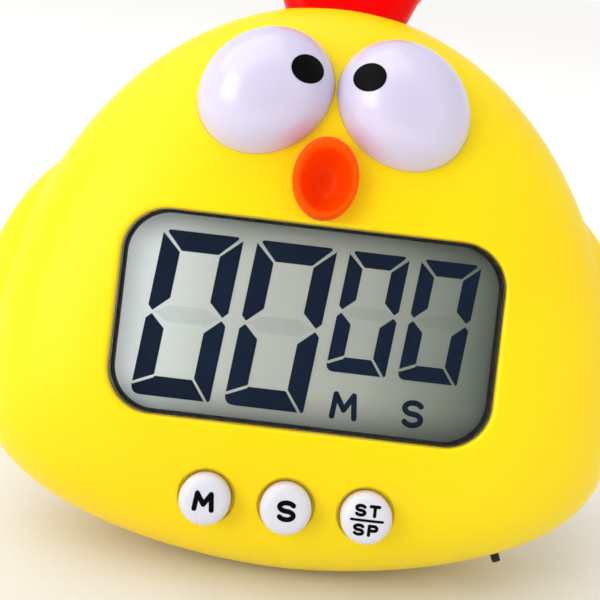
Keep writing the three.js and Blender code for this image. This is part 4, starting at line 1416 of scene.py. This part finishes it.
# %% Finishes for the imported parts
FINISHES = {
    screen_glass: ["lcd_front_glass", "lcd_rear_glass"],
    reflector_foil: ["lcd_reflector"],
    white_styrene: ["lcd_holder"],
    carbon_rubber: ["zebra_strip"],
    board_laminate: ["circuit_board"],
    black_epoxy: ["chip_blob"],
    nickel_steel: ["quartz_crystal", "slide_switch_frame", "battery_spring", "battery_contact"]
    + [f"board_screw_{i}" for i in range(1, 5)],
    blue_sleeve: ["capacitor"],
    black_phenolic: [f"{name}_switch_base" for name in BUTTONS],
    red_stem_nylon: [f"{name}_switch_stem" for name in BUTTONS],
    rolled_brass: ["buzzer_disc"],
    white_ceramic: ["buzzer_ceramic"],
    cell_sleeve: ["battery_cell"],
    red_pvc: ["battery_wire_red", "buzzer_wire_red"],
    black_pvc: ["battery_wire_black", "buzzer_wire_black"],
}
for material, names in FINISHES.items():
    for name in names:
        node = frame["nodes"][name]
        node.data.materials.clear()
        node.data.materials.append(material)
print("packed parts finished:", sum(len(names) for names in FINISHES.values()))

# %% [markdown]
# ## Floor and light
# The timer stands on a sweep of white paper. The largest light hangs high on its left, almost
# overhead, so the shadow falls under its chin. A smaller one further down on the left shines in
# the eyes, and a weak one on the right fills. The surround is white at the horizon and dimmer
# overhead, and dimmest behind the camera, because the window mirrors what is there and a bright
# wall would wash out the figures. The paper has a painted glow that grows away from the timer,
# so the ground turns white where the shadow ends.

# %% Floor and lights
LIGHT_TARGET = [0, 0, 10]

floor_material, floor_tree, floor_place = start_material("white paper sweep")
fibres = add_node(floor_tree, "ShaderNodeTexNoise", {
    "Vector": floor_place, "Scale": 1 / 0.8, "Detail": 3.0,
})
paper = add_node(floor_tree, "ShaderNodeMix", {
    "Factor": fibres.outputs["Fac"], "A": linear("#e4e2de"), "B": linear("#dfddd9"),
}, data_type="RGBA")
# Painted glow: the paper gives off light of its own, more the further it lies from the timer, so the
# ground turns white where the shadow ends.
from_middle = add_node(floor_tree, "ShaderNodeVectorMath", {0: floor_place}, operation="LENGTH")
painted_floor_glow = add_node(floor_tree, "ShaderNodeMapRange", {
    "Value": from_middle.outputs["Value"],
    "From Min": 25.0, "From Max": 110.0, "To Min": 0.0, "To Max": 0.38,
}, interpolation_type="SMOOTHSTEP")
end_material(floor_tree, {
    "Base Color": paper.outputs["Result"], "Roughness": 0.9, "IOR": 1.1,
    "Emission Color": linear("#ffffff"), "Emission Strength": painted_floor_glow.outputs["Result"],
})
floor_half = 20.0
floor_mesh = bpy.data.meshes.new("floor")
corners = floor_half * np.array([(-1, -1, 0), (1, -1, 0), (1, 1, 0), (-1, 1, 0)])
floor_mesh.from_pydata(corners.tolist(), [], [(0, 1, 2, 3)])
floor_mesh.materials.append(floor_material)
floor = bpy.data.objects.new("floor", floor_mesh)
bpy.context.scene.collection.objects.link(floor)


def soft_light(name, place, size, power):
    """A square area light at a place in the timer's frame, in millimetres, facing the timer."""
    data = bpy.data.lights.new(name, "AREA")
    data.size = size
    data.energy = power
    lamp = bpy.data.objects.new(name, data)
    bpy.context.scene.collection.objects.link(lamp)
    lamp.location = to_row(place)
    aim = to_row(LIGHT_TARGET) - to_row(place)
    lamp.rotation_mode = "QUATERNION"
    lamp.rotation_quaternion = Vector(aim).to_track_quat("-Z", "Y")


soft_light("key light", [-300, 560, 300], 0.8, 2.6)
soft_light("left light", [-430, 90, 440], 0.32, 1.1)
soft_light("fill light", [520, 60, 420], 0.5, 0.1)

world = bpy.data.worlds.new("studio")
bpy.context.scene.world = world
world.use_nodes = True
world_tree = world.node_tree
world_tree.nodes.clear()
heading = add_node(world_tree, "ShaderNodeTexCoord")
towards = add_node(world_tree, "ShaderNodeVectorMath", {
    0: heading.outputs["Generated"], 1: tuple(back),
}, operation="DOT_PRODUCT")
brightness = add_node(world_tree, "ShaderNodeMapRange", {
    "Value": towards.outputs["Value"], "From Min": 0.84, "From Max": 0.98, "To Min": 1.0, "To Max": 0.27,
}, interpolation_type="SMOOTHSTEP")
upward = add_node(world_tree, "ShaderNodeSeparateXYZ", {"Vector": heading.outputs["Generated"]})
overhead = add_node(world_tree, "ShaderNodeMapRange", {
    "Value": upward.outputs["Z"], "From Min": 0.15, "From Max": 0.55, "To Min": 1.0, "To Max": 0.74,
}, interpolation_type="SMOOTHSTEP")
strength = add_node(world_tree, "ShaderNodeMath", {
    0: brightness.outputs["Result"], 1: overhead.outputs["Result"],
}, operation="MULTIPLY")
surround = add_node(world_tree, "ShaderNodeBackground", {
    "Color": linear("#ffffff"), "Strength": strength.outputs[0],
})
add_node(world_tree, "ShaderNodeOutputWorld", {"Surface": surround.outputs[0]})
print("lights:", len(bpy.data.lights))
